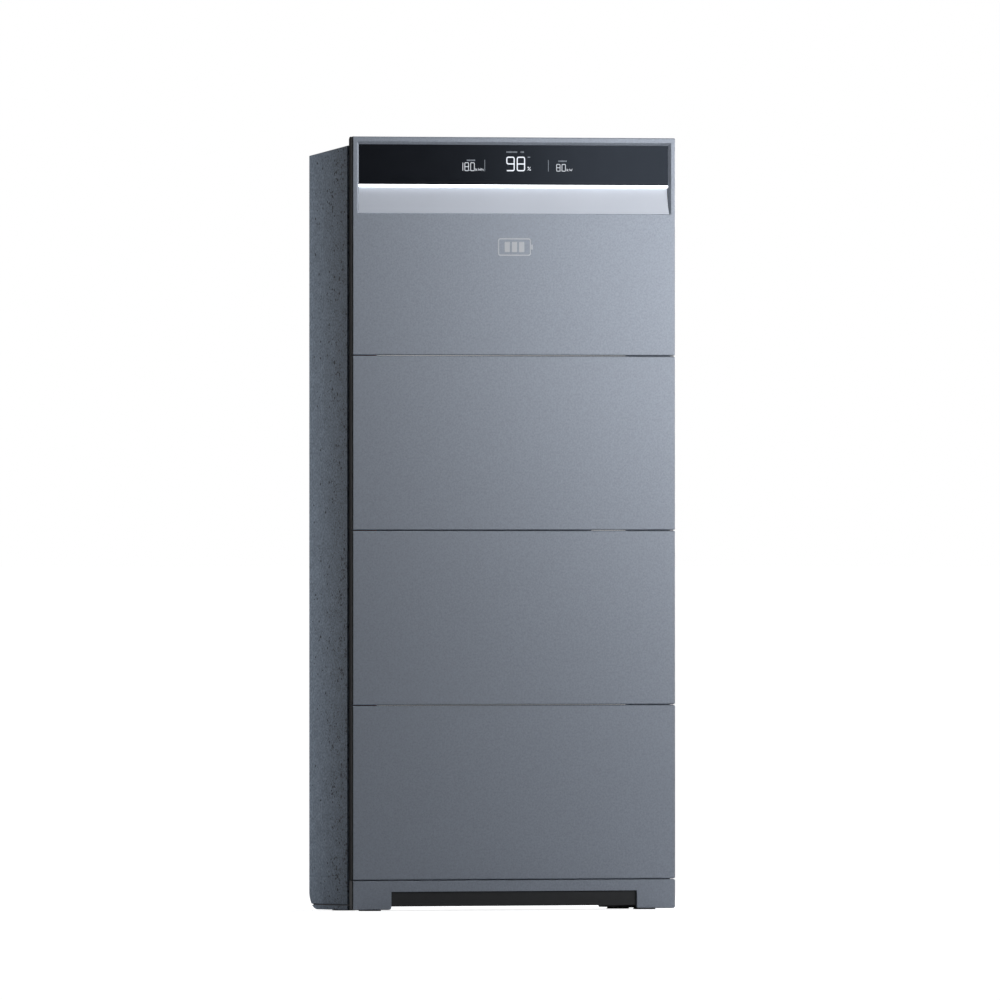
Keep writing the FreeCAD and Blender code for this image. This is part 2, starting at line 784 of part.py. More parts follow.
def bay_liner():
    """The black liner of the service bay, with a lug above and below the door for the hinge pins."""
    wall = 2.0
    right = COVER_INSIDE - 0.3
    outer = block(BOX_FACE, right, BAY_FRONT, BAY_BACK, BAY_BOTTOM, BAY_TOP)
    inner = block(BOX_FACE, right, BAY_FRONT + wall, BAY_BACK - wall, BAY_BOTTOM + wall, BAY_TOP - wall)
    pieces = [outer.cut(inner)]
    top_lug = (DOOR_TOP + 1.2, BAY_TOP - wall)
    bottom_lug = (BAY_BOTTOM + wall, DOOR_BOTTOM - 1.2)
    for low, high in (top_lug, bottom_lug):
        eye = rod(HINGE_LUG_RADIUS, hinge_point(low), hinge_point(high))
        web = block(HINGE_X - 3.5, HINGE_X + 3.5, HINGE_Y, BAY_BACK - wall, low, high)
        pieces.append(join([eye, web]))
    pins = rod(HINGE_PIN_RADIUS, hinge_point(BAY_BOTTOM), hinge_point(BAY_TOP))
    middle = block(BOX_FACE, right, BAY_FRONT, BAY_BACK, DOOR_BOTTOM - 1.2, DOOR_TOP + 1.2)
    return join(pieces).cut(pins.cut(middle))


def door_hinge_pins():
    """Two steel pins, fast in the liner's lugs, that the door's eyes turn on."""
    reach = LUG_HEIGHT + 1.5
    upper = rod(HINGE_PIN_RADIUS, hinge_point(DOOR_TOP - reach), hinge_point(BAY_TOP))
    lower = rod(HINGE_PIN_RADIUS, hinge_point(BAY_BOTTOM), hinge_point(DOOR_BOTTOM + reach))
    return group([lower, upper])


def service_door():
    """The flush door on the right-hand side, with two hinge eyes behind and a finger notch."""
    plate = block(COVER_INSIDE, HALF, DOOR_FRONT, DOOR_BACK, DOOR_BOTTOM, DOOR_TOP)
    corners = edges_where(plate, lambda c: near(c.x, (COVER_INSIDE + HALF) / 2))
    plate = plate.makeFillet(2.0, corners)
    plate = plate.makeChamfer(0.6, edges_where(plate, lambda c: near(c.x, HALF)))
    middle = (DOOR_BOTTOM + DOOR_TOP) / 2
    notch = rod(11, Vector(COVER_INSIDE - 1, DOOR_FRONT - 4, middle), Vector(HALF + 1, DOOR_FRONT - 4, middle))
    pieces = [plate.cut(notch)]
    for low in (DOOR_BOTTOM + 0.8, DOOR_TOP - 0.8 - LUG_HEIGHT):
        eye = rod(HINGE_LUG_RADIUS, hinge_point(low), hinge_point(low + LUG_HEIGHT))
        web = block(HINGE_X, COVER_INSIDE + 0.5, HINGE_Y - 3.5, HINGE_Y + 3.5, low, low + LUG_HEIGHT)
        pieces.append(join([eye, web]))
    stiffener = block(COVER_INSIDE - 1.5, COVER_INSIDE, -30, 30, DOOR_BOTTOM + 14, DOOR_TOP - 14)
    pieces.append(stiffener.cut(block(0, HALF, -22, 22, DOOR_BOTTOM + 22, DOOR_TOP - 22)))
    bore = rod(HINGE_BORE_RADIUS, hinge_point(DOOR_BOTTOM - 1), hinge_point(DOOR_TOP + 1))
    return join(pieces).cut(bore)


def breaker_body():
    """The two-pole battery breaker and the rail it hangs on."""
    y, z = BREAKER_Y, BREAKER_Z
    nose = block(270, BOX_FACE + 4, y - 18, y + 18, z - 22.5, z + 22.5)
    body = block(BOX_LEFT + 10, 272, y - 18, y + 18, z - 42, z + 42)
    slot = block(284, HALF, y - 9, y + 9, z - 17, z + 17)
    pivot = rod(LEVER_PIN_BORE, Vector(LEVER_PIVOT_X, y - 12.3, z), Vector(LEVER_PIVOT_X, y + 12.3, z))
    breaker = join([nose, body]).cut(slot).cut(pivot)
    rail = block(BOX_LEFT + CASE_WALL, BOX_LEFT + 10, BOX_FRONT + 6, BOX_BACK - 6, z - 17.5, z + 17.5)
    return group([breaker, rail])


def breaker_lever():
    """The breaker's toggle, thrown up, on a barrel whose pin ends turn in the breaker's cheeks."""
    y, z, x = BREAKER_Y, BREAKER_Z, LEVER_PIVOT_X
    barrel = rod(LEVER_BARREL, Vector(x, y - 8.5, z), Vector(x, y + 8.5, z))
    pin = rod(LEVER_PIN, Vector(x, y - 12, z), Vector(x, y + 12, z))
    paddle = block(x - 2.5, x + 19, y - 8, y + 8, z - 2.5, z + 2.5)
    paddle = paddle.makeFillet(1.5, edges_where(paddle, lambda c: near(c.x, x + 19)))
    paddle.rotate(Vector(x, y, z), Vector(0, 1, 0), -40)
    return join([barrel, pin, paddle])


def isolator_body():
    """The rotary isolator behind the touch guard, with its bored front boss."""
    y, z = ISOLATOR_Y, ISOLATOR_Z
    body = block(BOX_LEFT + 10, 286, y - 23, y + 25, z - 25, z + 25)
    bore = rod(SHAFT_RADIUS + 0.05, Vector(264, y, z), Vector(300, y, z))
    return body.cut(bore)


def isolator_knob():
    """The isolator's handle: a round skirt with a grip bar, on its shaft."""
    y, z = ISOLATOR_Y, ISOLATOR_Z
    face = BOX_FACE + 3
    skirt = rod(KNOB_RADIUS, Vector(face, y, z), Vector(face + 7, y, z))
    skirt = skirt.makeFillet(1.5, edges_where(skirt, lambda c: near(c.x, face + 7)))
    grip = block(face + 5, face + 20, y - 5.5, y + 5.5, z - 17, z + 17)
    grip = grip.makeFillet(2.0, edges_where(grip, lambda c: c.x > face + 6))
    shaft = rod(SHAFT_RADIUS, Vector(266, y, z), Vector(face + 2, y, z))
    return join([skirt, grip, shaft])


def terminal_block():
    """A row of feed-through terminals above the gland chamber."""
    pieces = [block(BOX_LEFT + CASE_WALL, BOX_LEFT + 8, -48, 50, 1120, 1160)]
    for n in range(8):
        y = -46 + 12 * n
        pieces.append(block(BOX_LEFT + 8, BOX_LEFT + 42, y, y + 10.5, 1118, 1162))
    return group(pieces)


def comm_board():
    """The communication board with four sockets in a row."""
    board = block(BOX_LEFT + 6, BOX_LEFT + 7.6, -48, 50, 1285, 1335)
    pieces = [board]
    for n in range(4):
        y = -42 + 24 * n
        pieces.append(block(BOX_LEFT + 7.6, BOX_LEFT + 26, y, y + 16, 1292, 1306))
    return group(pieces)


def gland(y):
    """A cable gland: dome nut below, thread through the wall, lock nut inside."""
    floor = BOX_BOTTOM
    at = Vector(GLAND_X, y, 0)

    def stage(radius, low, high):
        return rod(radius, at + Vector(0, 0, low), at + Vector(0, 0, high))

    dome = stage(GLAND_NUT - 1, floor - 22, floor - 8)
    dome = dome.makeFillet(4.0, edges_where(dome, lambda c: near(c.z, floor - 22)))
    collar = stage(GLAND_NUT, floor - 8, floor)
    thread = stage(GLAND_THREAD, floor, floor + 10)
    nut = stage(GLAND_NUT - 1, floor + CASE_WALL, floor + CASE_WALL + 5)
    bore = stage(CABLE_RADIUS, floor - 23, floor + 11)
    return join([dome, collar, thread, nut]).cut(bore)


def cable_glands():
    """The three cable glands under the wiring box."""
    return group([gland(y) for y in GLAND_Y])


def button_housing():
    """The socket of the power button, with a ring that shows in the side cover."""
    z = BUTTON_Z
    body = rod(14, Vector(308, 0, z), Vector(COVER_INSIDE - 0.2, 0, z))
    ring = rod(BEZEL_RADIUS, Vector(COVER_INSIDE - 1, 0, z), Vector(HALF, 0, z))
    ring = ring.makeFillet(0.6, edges_where(ring, lambda c: near(c.x, HALF)))
    bore = rod(BUTTON_BORE, Vector(318, 0, z), Vector(HALF + 1, 0, z))
    return join([body, ring]).cut(bore)


def power_button():
    """The round push button, almost flush with its ring."""
    z = BUTTON_Z
    face = HALF - 0.3
    cap = rod(BUTTON_RADIUS, Vector(322, 0, z), Vector(face, 0, z))
    return cap.makeFillet(0.8, edges_where(cap, lambda c: near(c.x, face)))


# ---------------------------------------------------------------- covers


def side_outline(inside, outside):
    """The whole left or right side as a slab: sloped top, rounded lower rear corner."""
    front, low, r = COVER_FRONT, FLOOR_GAP, REAR_CORNER
    lean = math.sqrt(0.5) * r
    corners = [
        Vector(inside, BACK, low + r),
        Vector(inside, BACK, COVER_TOP_BACK),
        Vector(inside, front, COVER_TOP_FRONT),
        Vector(inside, front, low),
        Vector(inside, BACK - r, low),
    ]
    middle = Vector(inside, BACK - r + lean, low + r - lean)
    edges = [Part.LineSegment(a, b).toShape() for a, b in zip(corners, corners[1:])]
    edges.append(Part.Arc(corners[-1], middle, corners[0]).toShape())
    return Part.Face(Part.Wire(edges)).extrude(Vector(outside - inside, 0, 0))


def above_line(drop):
    """Everything higher than a line that runs below the top cover's slope by a drop."""
    reach = 40.0
    slope = COVER_TOP_FALL / (BACK - COVER_FRONT)
    y0, y1 = COVER_FRONT - reach, BACK + reach
    z0 = COVER_TOP_FRONT + slope * reach - drop
    z1 = COVER_TOP_BACK - slope * reach - drop
    outline = [
        Vector(-HALF - reach, y0, z0),
        Vector(-HALF - reach, y1, z1),
        Vector(-HALF - reach, y1, TOP + reach),
        Vector(-HALF - reach, y0, TOP + reach),
    ]
    return prism(outline, Vector(WIDTH + 2 * reach, 0, 0))


def side_cover():
    """A full-height side cover: textured sheet with a softened outline and a folded rear edge."""
    slab = side_outline(COVER_INSIDE, HALF)
    slab = slab.cut(block(0, WIDTH, -DEPTH, DEPTH, 0, COVER_HEM))
    slab = slab.makeChamfer(COVER_EDGE, edges_where(slab, lambda c: near(c.x, HALF)))
    fold_top = COVER_TOP_BACK - COVER_FLANGE - COVER_SEAM - 2
    fold = block(HALF - COVER_RETURN, COVER_INSIDE, BACK - COVER_SHEET, BACK, FLOOR_GAP + REAR_CORNER, fold_top)
    return join([slab, fold])


def side_cover_left():
    """The plain cover on the left."""
    return mirrored(side_cover())


def side_cover_right():
    """The cover on the right, cut out for the service door and the button ring."""
    window = block(
        COVER_INSIDE,
        HALF,
        DOOR_FRONT - DOOR_GAP,
        DOOR_BACK + HINGE_GAP,
        DOOR_BOTTOM - DOOR_GAP,
        DOOR_TOP + DOOR_GAP,
    )
    corners = edges_where(window, lambda c: near(c.x, (COVER_INSIDE + HALF) / 2))
    window = window.makeFillet(2.0, corners)
    hole = rod(BEZEL_RADIUS + 0.2, Vector(COVER_INSIDE - 1, 0, BUTTON_Z), Vector(HALF + 1, 0, BUTTON_Z))
    return side_cover().cut(window).cut(hole)


def top_cover():
    """The sloping rain cover between the side covers, with a flange down each side and the back."""
    half = COVER_INSIDE - COVER_SEAM
    slab = side_outline(-half, half).common(above_line(COVER_FLANGE))
    long_edges = edges_where(slab, lambda c: near(abs(c.x), half) and near(c.z, cover_top(c.y)))
    slab = slab.makeFillet(1.0, long_edges)
    inner = half - COVER_SHEET
    hollow = side_outline(-inner, inner).cut(above_line(2.0))
    hollow = hollow.cut(block(-WIDTH, WIDTH, BACK - 2, BACK, 0, TOP))
    return slab.cut(hollow)


def base_end_trims():
    """The low strips that close the stand's ends under the side covers."""
    strip = side_outline(COVER_INSIDE, HALF).common(block(0, WIDTH, -DEPTH, DEPTH, 0, COVER_HEM - 2))
    strip = strip.makeChamfer(0.7, edges_where(strip, lambda c: near(c.x, HALF)))
    return group([strip, mirrored(strip)])


# ---------------------------------------------------------------- floor stand


def leg_corner(x, side):
    """What is taken off a leg's lower corner to round it: side is 1 for a right-hand corner, -1 for a left-hand one."""
    r = SKIRT_CORNER
    x0, x1 = sorted((x, x - side * r))
    corner = block(x0, x1, FRONT, PANEL_BACK, FLOOR_GAP, FLOOR_GAP + r)
    centre = Vector(x - side * r, FRONT, FLOOR_GAP + r)
    return corner.cut(rod(r, centre, centre + Vector(0, PANEL_DEPTH, 0)))


def base_skirt():
    """The stand's front panel, cut away between two legs."""
    skirt = pan(FLOOR_GAP, BASE_HEIGHT - PANEL_GAP / 2)
    inner_leg = HALF - LEG_WIDTH
    wall = PANEL_SHEET
    skirt = skirt.cut(block(-inner_leg, inner_leg, FRONT, PANEL_BACK, FLOOR_GAP, ARCH_TOP))
    lintel = block(-inner_leg, inner_leg, PANEL_INSIDE, PANEL_BACK, ARCH_TOP, ARCH_TOP + wall)
    right_cheek = block(inner_leg, inner_leg + wall, PANEL_INSIDE, PANEL_BACK, FLOOR_GAP, ARCH_TOP + wall)
    skirt = join([skirt, lintel, right_cheek, mirrored(right_cheek)])
    for x, side in ((HALF, 1), (-HALF, -1), (inner_leg, -1), (-inner_leg, 1)):
        skirt = skirt.cut(leg_corner(x, side))
    return skirt


def foot_spots():
    """Where the four levelling feet stand."""
    return [(x, y) for y in FOOT_Y for x in (-FOOT_X, FOOT_X)]


def base_frame():
    """The black steel stand: front beam, deck, walls, a wall inside each leg and four foot bosses."""
    t = STAND_SHEET
    deck_top = BASE_HEIGHT - CARRIER_GAP
    half = CARRIER_HALF
    beam_front = PANEL_BACK
    pieces = [block(-half, half, beam_front, beam_front + t, BEAM_BOTTOM, deck_top)]
    leg = HALF - LEG_WIDTH
    for side in (-1, 1):
        x0, x1 = sorted((side * leg, side * half))
        pieces.append(block(x0, x1, beam_front, beam_front + t, FLOOR_GAP + 1, BEAM_BOTTOM))
        x0, x1 = sorted((side * (half - t), side * half))
        pieces.append(block(x0, x1, beam_front, COVER_FRONT, FLOOR_GAP + 1, deck_top))
        pieces.append(block(x0, x1, COVER_FRONT, CASE_BACK, FLOOR_GAP + 1, deck_top))
        closer = side_outline(x0, x1).translated(Vector(0, 0, 1))
        pieces.append(closer.common(block(x0, x1, COVER_FRONT, BACK - 6, 0, COVER_HEM + 12)))
        x0, x1 = sorted((side * leg, side * (leg + t)))
        pieces.append(block(x0, x1, beam_front, CASE_BACK, FLOOR_GAP + 1, deck_top))
    pieces.append(block(-half, half, beam_front, CASE_BACK, deck_top - t, deck_top))
    pieces.append(block(-half, half, CASE_BACK - t, CASE_BACK, BEAM_BOTTOM, deck_top))
    for x, y in foot_spots():
        pieces.append(rod(BOSS_RADIUS, Vector(x, y, BOSS_BOTTOM), Vector(x, y, deck_top - t)))
    frame = join(pieces)
    for x, y in foot_spots():
        frame = frame.cut(rod(STUD_BORE, Vector(x, y, 0), Vector(x, y, BASE_HEIGHT)))
    for side in (-1, 1):
        x0, x1 = sorted((side * 308.0, side * (half - t)))
        frame = frame.cut(block(x0, x1, -52, 52, deck_top - t, deck_top))
    return frame


def levelling_foot(x, y):
    """A levelling foot: a dished pad on a threaded stud."""
    pad = Part.makeCone(FOOT_RADIUS, FOOT_RADIUS - 5, FOOT_PAD, Vector(x, y, 0))
    return join([pad, rod(STUD_RADIUS, Vector(x, y, FOOT_PAD - 1), Vector(x, y, STUD_TOP))])


def foot_lock_nuts():
    """The nuts that lock the feet under their bosses."""
    nuts = []
    for x, y in foot_spots():
        corners = []
        for n in range(7):
            angle = math.radians(60 * n)
            corners.append(Vector(x + 9.8 * math.cos(angle), y + 9.8 * math.sin(angle), BOSS_BOTTOM - LOCK_NUT))
        nut = Part.Face(Part.makePolygon(corners)).extrude(Vector(0, 0, LOCK_NUT))
        nuts.append(nut.cut(rod(STUD_BORE, Vector(x, y, 0), Vector(x, y, BOSS_BOTTOM))))
    return group(nuts)


# ---------------------------------------------------------------- wall rails and links


def wall_rail(middle):
    """A wall rail: a channel whose back plate bolts to the wall through four holes."""
    t = RAIL_SHEET
    low, high = middle - RAIL_HEIGHT / 2, middle + RAIL_HEIGHT / 2
    pieces = [block(-RAIL_HALF, RAIL_HALF, BACK - t, BACK, low, high)]
    for z in (low, high - t):
        pieces.append(block(-RAIL_HALF, RAIL_HALF, CASE_BACK, BACK - t, z, z + t))
    rail = join(pieces)
    rail = rail.makeFillet(2.0, edges_where(rail, lambda c: near(c.y, BACK) and near(c.x, 0)))
    for x in (-RAIL_HOLE_X, RAIL_HOLE_X):
        for z in (middle - RAIL_HOLE_PITCH / 2, middle + RAIL_HOLE_PITCH / 2):
            rail = rail.cut(rod(RAIL_HOLE_RADIUS, Vector(x, BACK - 5, z), Vector(x, BACK + 1, z)))
    return rail


def link_plates():
    """Plates on the case ends that tie each module to the one below."""
    plates = []
    for seam in BATTERY_Z[1:] + [POWER_Z]:
        plate = block(-CASE_HALF - 2.5, -CASE_HALF, -30, 30, seam - 28, seam + 28)
        plates.append(plate.makeFillet(5.0, edges_where(plate, lambda c: near(c.x, -CASE_HALF - 1.25))))
        if seam < POWER_Z:
            plates.append(mirrored(plates[-1]))
    return group(plates)


# ---------------------------------------------------------------- writing the parts


def all_parts():
    """Every sub-part by name."""
    parts = {
        "base_skirt": base_skirt(),
        "base_frame": base_frame(),
        "base_end_trims": base_end_trims(),
        "foot_lock_nuts": foot_lock_nuts(),
        "side_cover_left": side_cover_left(),
        "side_cover_right": side_cover_right(),
        "top_cover": top_cover(),
        "wall_rail_upper": wall_rail(UPPER_RAIL_Z),
        "wall_rail_lower": wall_rail(LOWER_RAIL_Z),
        "link_plates": link_plates(),
        "battery_lids": battery_lids(),
        "lid_seals": lid_seals(),
        "case_screws": case_screws(),
        "battery_busbars": battery_busbars(),
        "battery_boards": battery_boards(),
        "battery_converters": battery_converters(),
        "cell_clamps": cell_clamps(),
        "stack_couplings": stack_couplings(),
        "power_fascia": power_fascia(),
        "power_carrier": power_carrier(),
        "display_glass": display_glass(),
        "display_board": display_board(),
        "light_guide": light_guide(),
        "light_reflector": light_reflector(),
        "power_case": power_case(),
        "power_lid": power_lid(),
        "heat_sink": heat_sink(),
        "inverter_board": inverter_board(),
        "inverter_chokes": inverter_chokes(),
        "inverter_capacitors": inverter_capacitors(),
        "wiring_box": wiring_box(),
        "dead_front": dead_front(),
        "bay_liner": bay_liner(),
        "service_door": service_door(),
        "door_hinge_pins": door_hinge_pins(),
        "breaker_body": breaker_body(),
        "breaker_lever": breaker_lever(),
        "isolator_body": isolator_body(),
        "isolator_knob": isolator_knob(),
        "terminal_block": terminal_block(),
        "comm_board": comm_board(),
        "cable_glands": cable_glands(),
        "button_housing": button_housing(),
        "power_button": power_button(),
    }
    foot_names = ("foot_front_left", "foot_front_right", "foot_rear_left", "foot_rear_right")
    for name, (x, y) in zip(foot_names, foot_spots()):
        parts[name] = levelling_foot(x, y)
    for n, bottom in enumerate(BATTERY_Z, 1):
        parts[f"battery_fascia_{n}"] = battery_fascia(bottom)
        parts[f"battery_carrier_{n}"] = battery_carrier(bottom)
        parts[f"battery_case_{n}"] = battery_case(bottom)
        parts[f"battery_cells_{n}"] = battery_cells(bottom)
    return parts


def main():
    """Builds every sub-part and writes it as STEP."""
    os.makedirs("parts", exist_ok=True)
    for name, shape in all_parts().items():
        shape.exportStep(f"parts/{name}.step")


main()
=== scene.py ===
"""Finishes, display figures, fittings and studio for a floor-standing home battery stack.

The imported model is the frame. Its nodes keep their places and shapes, and get their finishes here.
The pieces that are built here are the display's lit figures, the mark on the front, the marks and
screws in the service bay, and the vents, earth studs and plates on the back. Lengths are metres.
"""

import logging
import math
from collections.abc import Sequence
from dataclasses import dataclass
from enum import Enum

import bmesh
import bpy
from mathutils import Matrix, Vector


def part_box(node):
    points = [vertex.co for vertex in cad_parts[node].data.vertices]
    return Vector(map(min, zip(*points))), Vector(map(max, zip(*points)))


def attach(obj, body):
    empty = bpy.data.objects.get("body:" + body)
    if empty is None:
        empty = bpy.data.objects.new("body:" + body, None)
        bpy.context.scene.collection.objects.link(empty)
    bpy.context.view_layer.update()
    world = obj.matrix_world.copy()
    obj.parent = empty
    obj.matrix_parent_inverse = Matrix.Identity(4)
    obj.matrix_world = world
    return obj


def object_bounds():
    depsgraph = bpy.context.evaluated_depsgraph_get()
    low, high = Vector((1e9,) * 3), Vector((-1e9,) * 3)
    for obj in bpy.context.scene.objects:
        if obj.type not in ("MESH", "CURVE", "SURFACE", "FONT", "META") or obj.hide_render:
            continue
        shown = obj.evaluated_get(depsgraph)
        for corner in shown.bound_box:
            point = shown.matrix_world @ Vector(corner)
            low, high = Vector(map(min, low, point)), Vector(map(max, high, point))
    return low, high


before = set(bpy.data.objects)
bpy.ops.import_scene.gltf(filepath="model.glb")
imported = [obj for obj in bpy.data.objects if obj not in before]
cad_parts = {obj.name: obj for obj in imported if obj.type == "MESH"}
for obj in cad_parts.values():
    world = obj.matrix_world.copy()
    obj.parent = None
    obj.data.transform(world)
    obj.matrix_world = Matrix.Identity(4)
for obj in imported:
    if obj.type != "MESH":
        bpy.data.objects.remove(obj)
CAD_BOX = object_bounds()

LOG = logging.getLogger("battery_stack")
MM = 0.001
MODULES = (1, 2, 3)  # the battery modules, from the bottom
WELD_DISTANCE = 0.002 * MM
SHARP_ANGLE = math.radians(28)

COAT_GLOSS = 0.08  # roughness of every clear coat
WAVE_SCALE = 140.0  # slow waves in paint, per metre
BLEND = 0.2 * MM  # width of the change from one finish to another on the same piece
NOISE = (0.3, 0.7)  # where nearly all of the cloud noise lies
MIX_FIRST, MIX_SECOND, MIX_RESULT = 6, 7, 2  # the mix node's colour sockets, which share their names

Colour = tuple[float, float, float]
Point = tuple[float, float]
Socket = bpy.types.NodeSocket
Source = Socket | float | Colour


class Body(Enum):
    """The rigid bodies of the stack that pieces ride on."""

    STACK = "stack"
    BUTTON = "button"


class Facing(Enum):
    """The way the front of a flat piece looks, as its right, up and outward directions."""

    FRONT = (Vector((1, 0, 0)), Vector((0, 0, 1)), Vector((0, -1, 0)))
    BACK = (Vector((-1, 0, 0)), Vector((0, 0, 1)), Vector((0, 1, 0)))
    RIGHT = (Vector((0, 1, 0)), Vector((0, 0, 1)), Vector((1, 0, 0)))

    def place(self, origin: Vector) -> Matrix:
        """A matrix that stands a flat piece up at a point, facing this way.

        Args:
            origin: Where the piece's own origin goes.

        Returns:
            The matrix from the piece's right, up and outward axes to the frame.
        """
        right, up, outward = self.value
        turn = Matrix((right, up, outward)).transposed()
        return Matrix.Translation(origin) @ turn.to_4x4()


def tone(red: float, green: float, blue: float) -> Colour:
    """Turns a display colour of 0 to 255 a channel into a linear one.

    Args:
        red: The red channel.
        green: The green channel.
        blue: The blue channel.

    Returns:
        The linear colour.
    """
    shares = (red / 255, green / 255, blue / 255)
    return tuple(s / 12.92 if s <= 0.04045 else ((s + 0.055) / 1.055) ** 2.4 for s in shares)


def scaled(colour: Colour, share: float) -> Colour:
    """The colour made lighter or darker by a share, and no lighter than white."""
    return tuple(min(1.0, channel * share) for channel in colour)


# ---------------------------------------------------------------- finishes


class Bench:
    """One material's node tree, with short ways to add nodes to it and join them."""

    def __init__(self, name: str) -> None:
        """Starts a material with its principled shader and its place on the object.

        Args:
            name: The material's name.
        """
        self.material = bpy.data.materials.new(name)
        self.material.use_nodes = True
        self.tree = self.material.node_tree
        self.shader = self.tree.nodes["Principled BSDF"]
        self.place = self.add("ShaderNodeTexCoord").outputs["Object"]

    def add(self, kind: str, **settings: object) -> bpy.types.Node:
        """Adds a node and sets its properties.

        Args:
            kind: The node's type name.
            **settings: Properties of the node by name.

        Returns:
            The new node.
        """
        node = self.tree.nodes.new(kind)
        for key, value in settings.items():
            setattr(node, key, value)
        return node

    def join(self, source: Source, target: Socket) -> None:
        """Links a socket to a target, or sets the target to a plain value."""
        if isinstance(source, Socket):
            self.tree.links.new(source, target)
        elif isinstance(source, tuple) and target.type == "RGBA":
            target.default_value = (*source, 1.0)
        else:
            target.default_value = source

    def feed(self, socket: str, source: Source) -> None:
        """Gives one of the shader's sockets a link or a value."""
        self.join(source, self.shader.inputs[socket])

    def stretched(self, scale: Sequence[float]) -> Socket:
        """The place on the object with each axis scaled on its own."""
        node = self.add("ShaderNodeMapping")
        self.join(self.place, node.inputs["Vector"])
        node.inputs["Scale"].default_value = scale
        return node.outputs["Vector"]

    def noise(self, scale: float, detail: float = 2.0, place: Socket | None = None) -> Socket:
        """Cloud noise from 0 to 1.

        Args:
            scale: Features per metre.
            detail: Octaves of finer noise.
            place: The coordinates, or None for the place on the object.

        Returns:
            The noise's socket.
        """
        node = self.add("ShaderNodeTexNoise")
        self.join(place or self.place, node.inputs["Vector"])
        node.inputs["Scale"].default_value = scale
        node.inputs["Detail"].default_value = detail
        return node.outputs["Fac"]

    def cells(self, scale: float) -> tuple[Socket, Socket]:
        """Many scattered points.

        Args:
            scale: Points per metre.

        Returns:
            The distance from the nearest point, in shares of the spacing, and that point's random colour.
        """
        node = self.add("ShaderNodeTexVoronoi")
        self.join(self.place, node.inputs["Vector"])
        node.inputs["Scale"].default_value = scale
        return node.outputs["Distance"], node.outputs["Color"]

    def remap(self, source: Socket, start: float, end: float, low: float = 0.0, high: float = 1.0) -> Socket:
        """Maps a value from one range to another and clamps it.

        Args:
            source: The socket to map.
            start: The value that gives low.
            end: The value that gives high.
            low: The lowest result.
            high: The highest result.

        Returns:
            The mapped socket.
        """
        node = self.add("ShaderNodeMapRange")
        for name, value in (("From Min", start), ("From Max", end), ("To Min", low), ("To Max", high)):
            self.join(value, node.inputs[name])
        self.join(source, node.inputs["Value"])
        return node.outputs["Result"]

    def maths(self, operation: str, first: Source, second: Source = 0.0) -> Socket:
        """One step of arithmetic on two values."""
        node = self.add("ShaderNodeMath", operation=operation)
        self.join(first, node.inputs[0])
        self.join(second, node.inputs[1])
        return node.outputs["Value"]

    def mix(self, share: Socket, first: Source, second: Source) -> Socket:
        """A colour between two colours.

        Args:
            share: 0 for the first colour and 1 for the second.
            first: The first colour.
            second: The second colour.

        Returns:
            The colour's socket.
        """
        node = self.add("ShaderNodeMix", data_type="RGBA")
        self.join(share, node.inputs["Factor"])
        self.join(first, node.inputs[MIX_FIRST])
        self.join(second, node.inputs[MIX_SECOND])
        return node.outputs[MIX_RESULT]

    def spread(self, noise: Socket, low: float = 0.0, high: float = 1.0) -> Socket:
        """Cloud noise stretched to the whole range from low to high."""
        return self.remap(noise, *NOISE, low, high)

    def axis(self, name: str) -> Socket:
        """One coordinate of the place on the object: X, Y or Z, in metres."""
        node = self.add("ShaderNodeSeparateXYZ")
        self.join(self.place, node.inputs["Vector"])
        return node.outputs[name]

    def bump(self, height: Socket, depth: float, under: Socket | None = None) -> Socket:
        """A normal that stands up with a height from 0 to 1.

        Args:
            height: The height's socket.
            depth: How far 1 stands above 0, in metres.
            under: Another bump's normal that this one lies on.

        Returns:
            The normal's socket.
        """
        node = self.add("ShaderNodeBump")
        self.join(height, node.inputs["Height"])
        node.inputs["Distance"].default_value = depth
        if under is not None:
            self.join(under, node.inputs["Normal"])
        return node.outputs["Normal"]


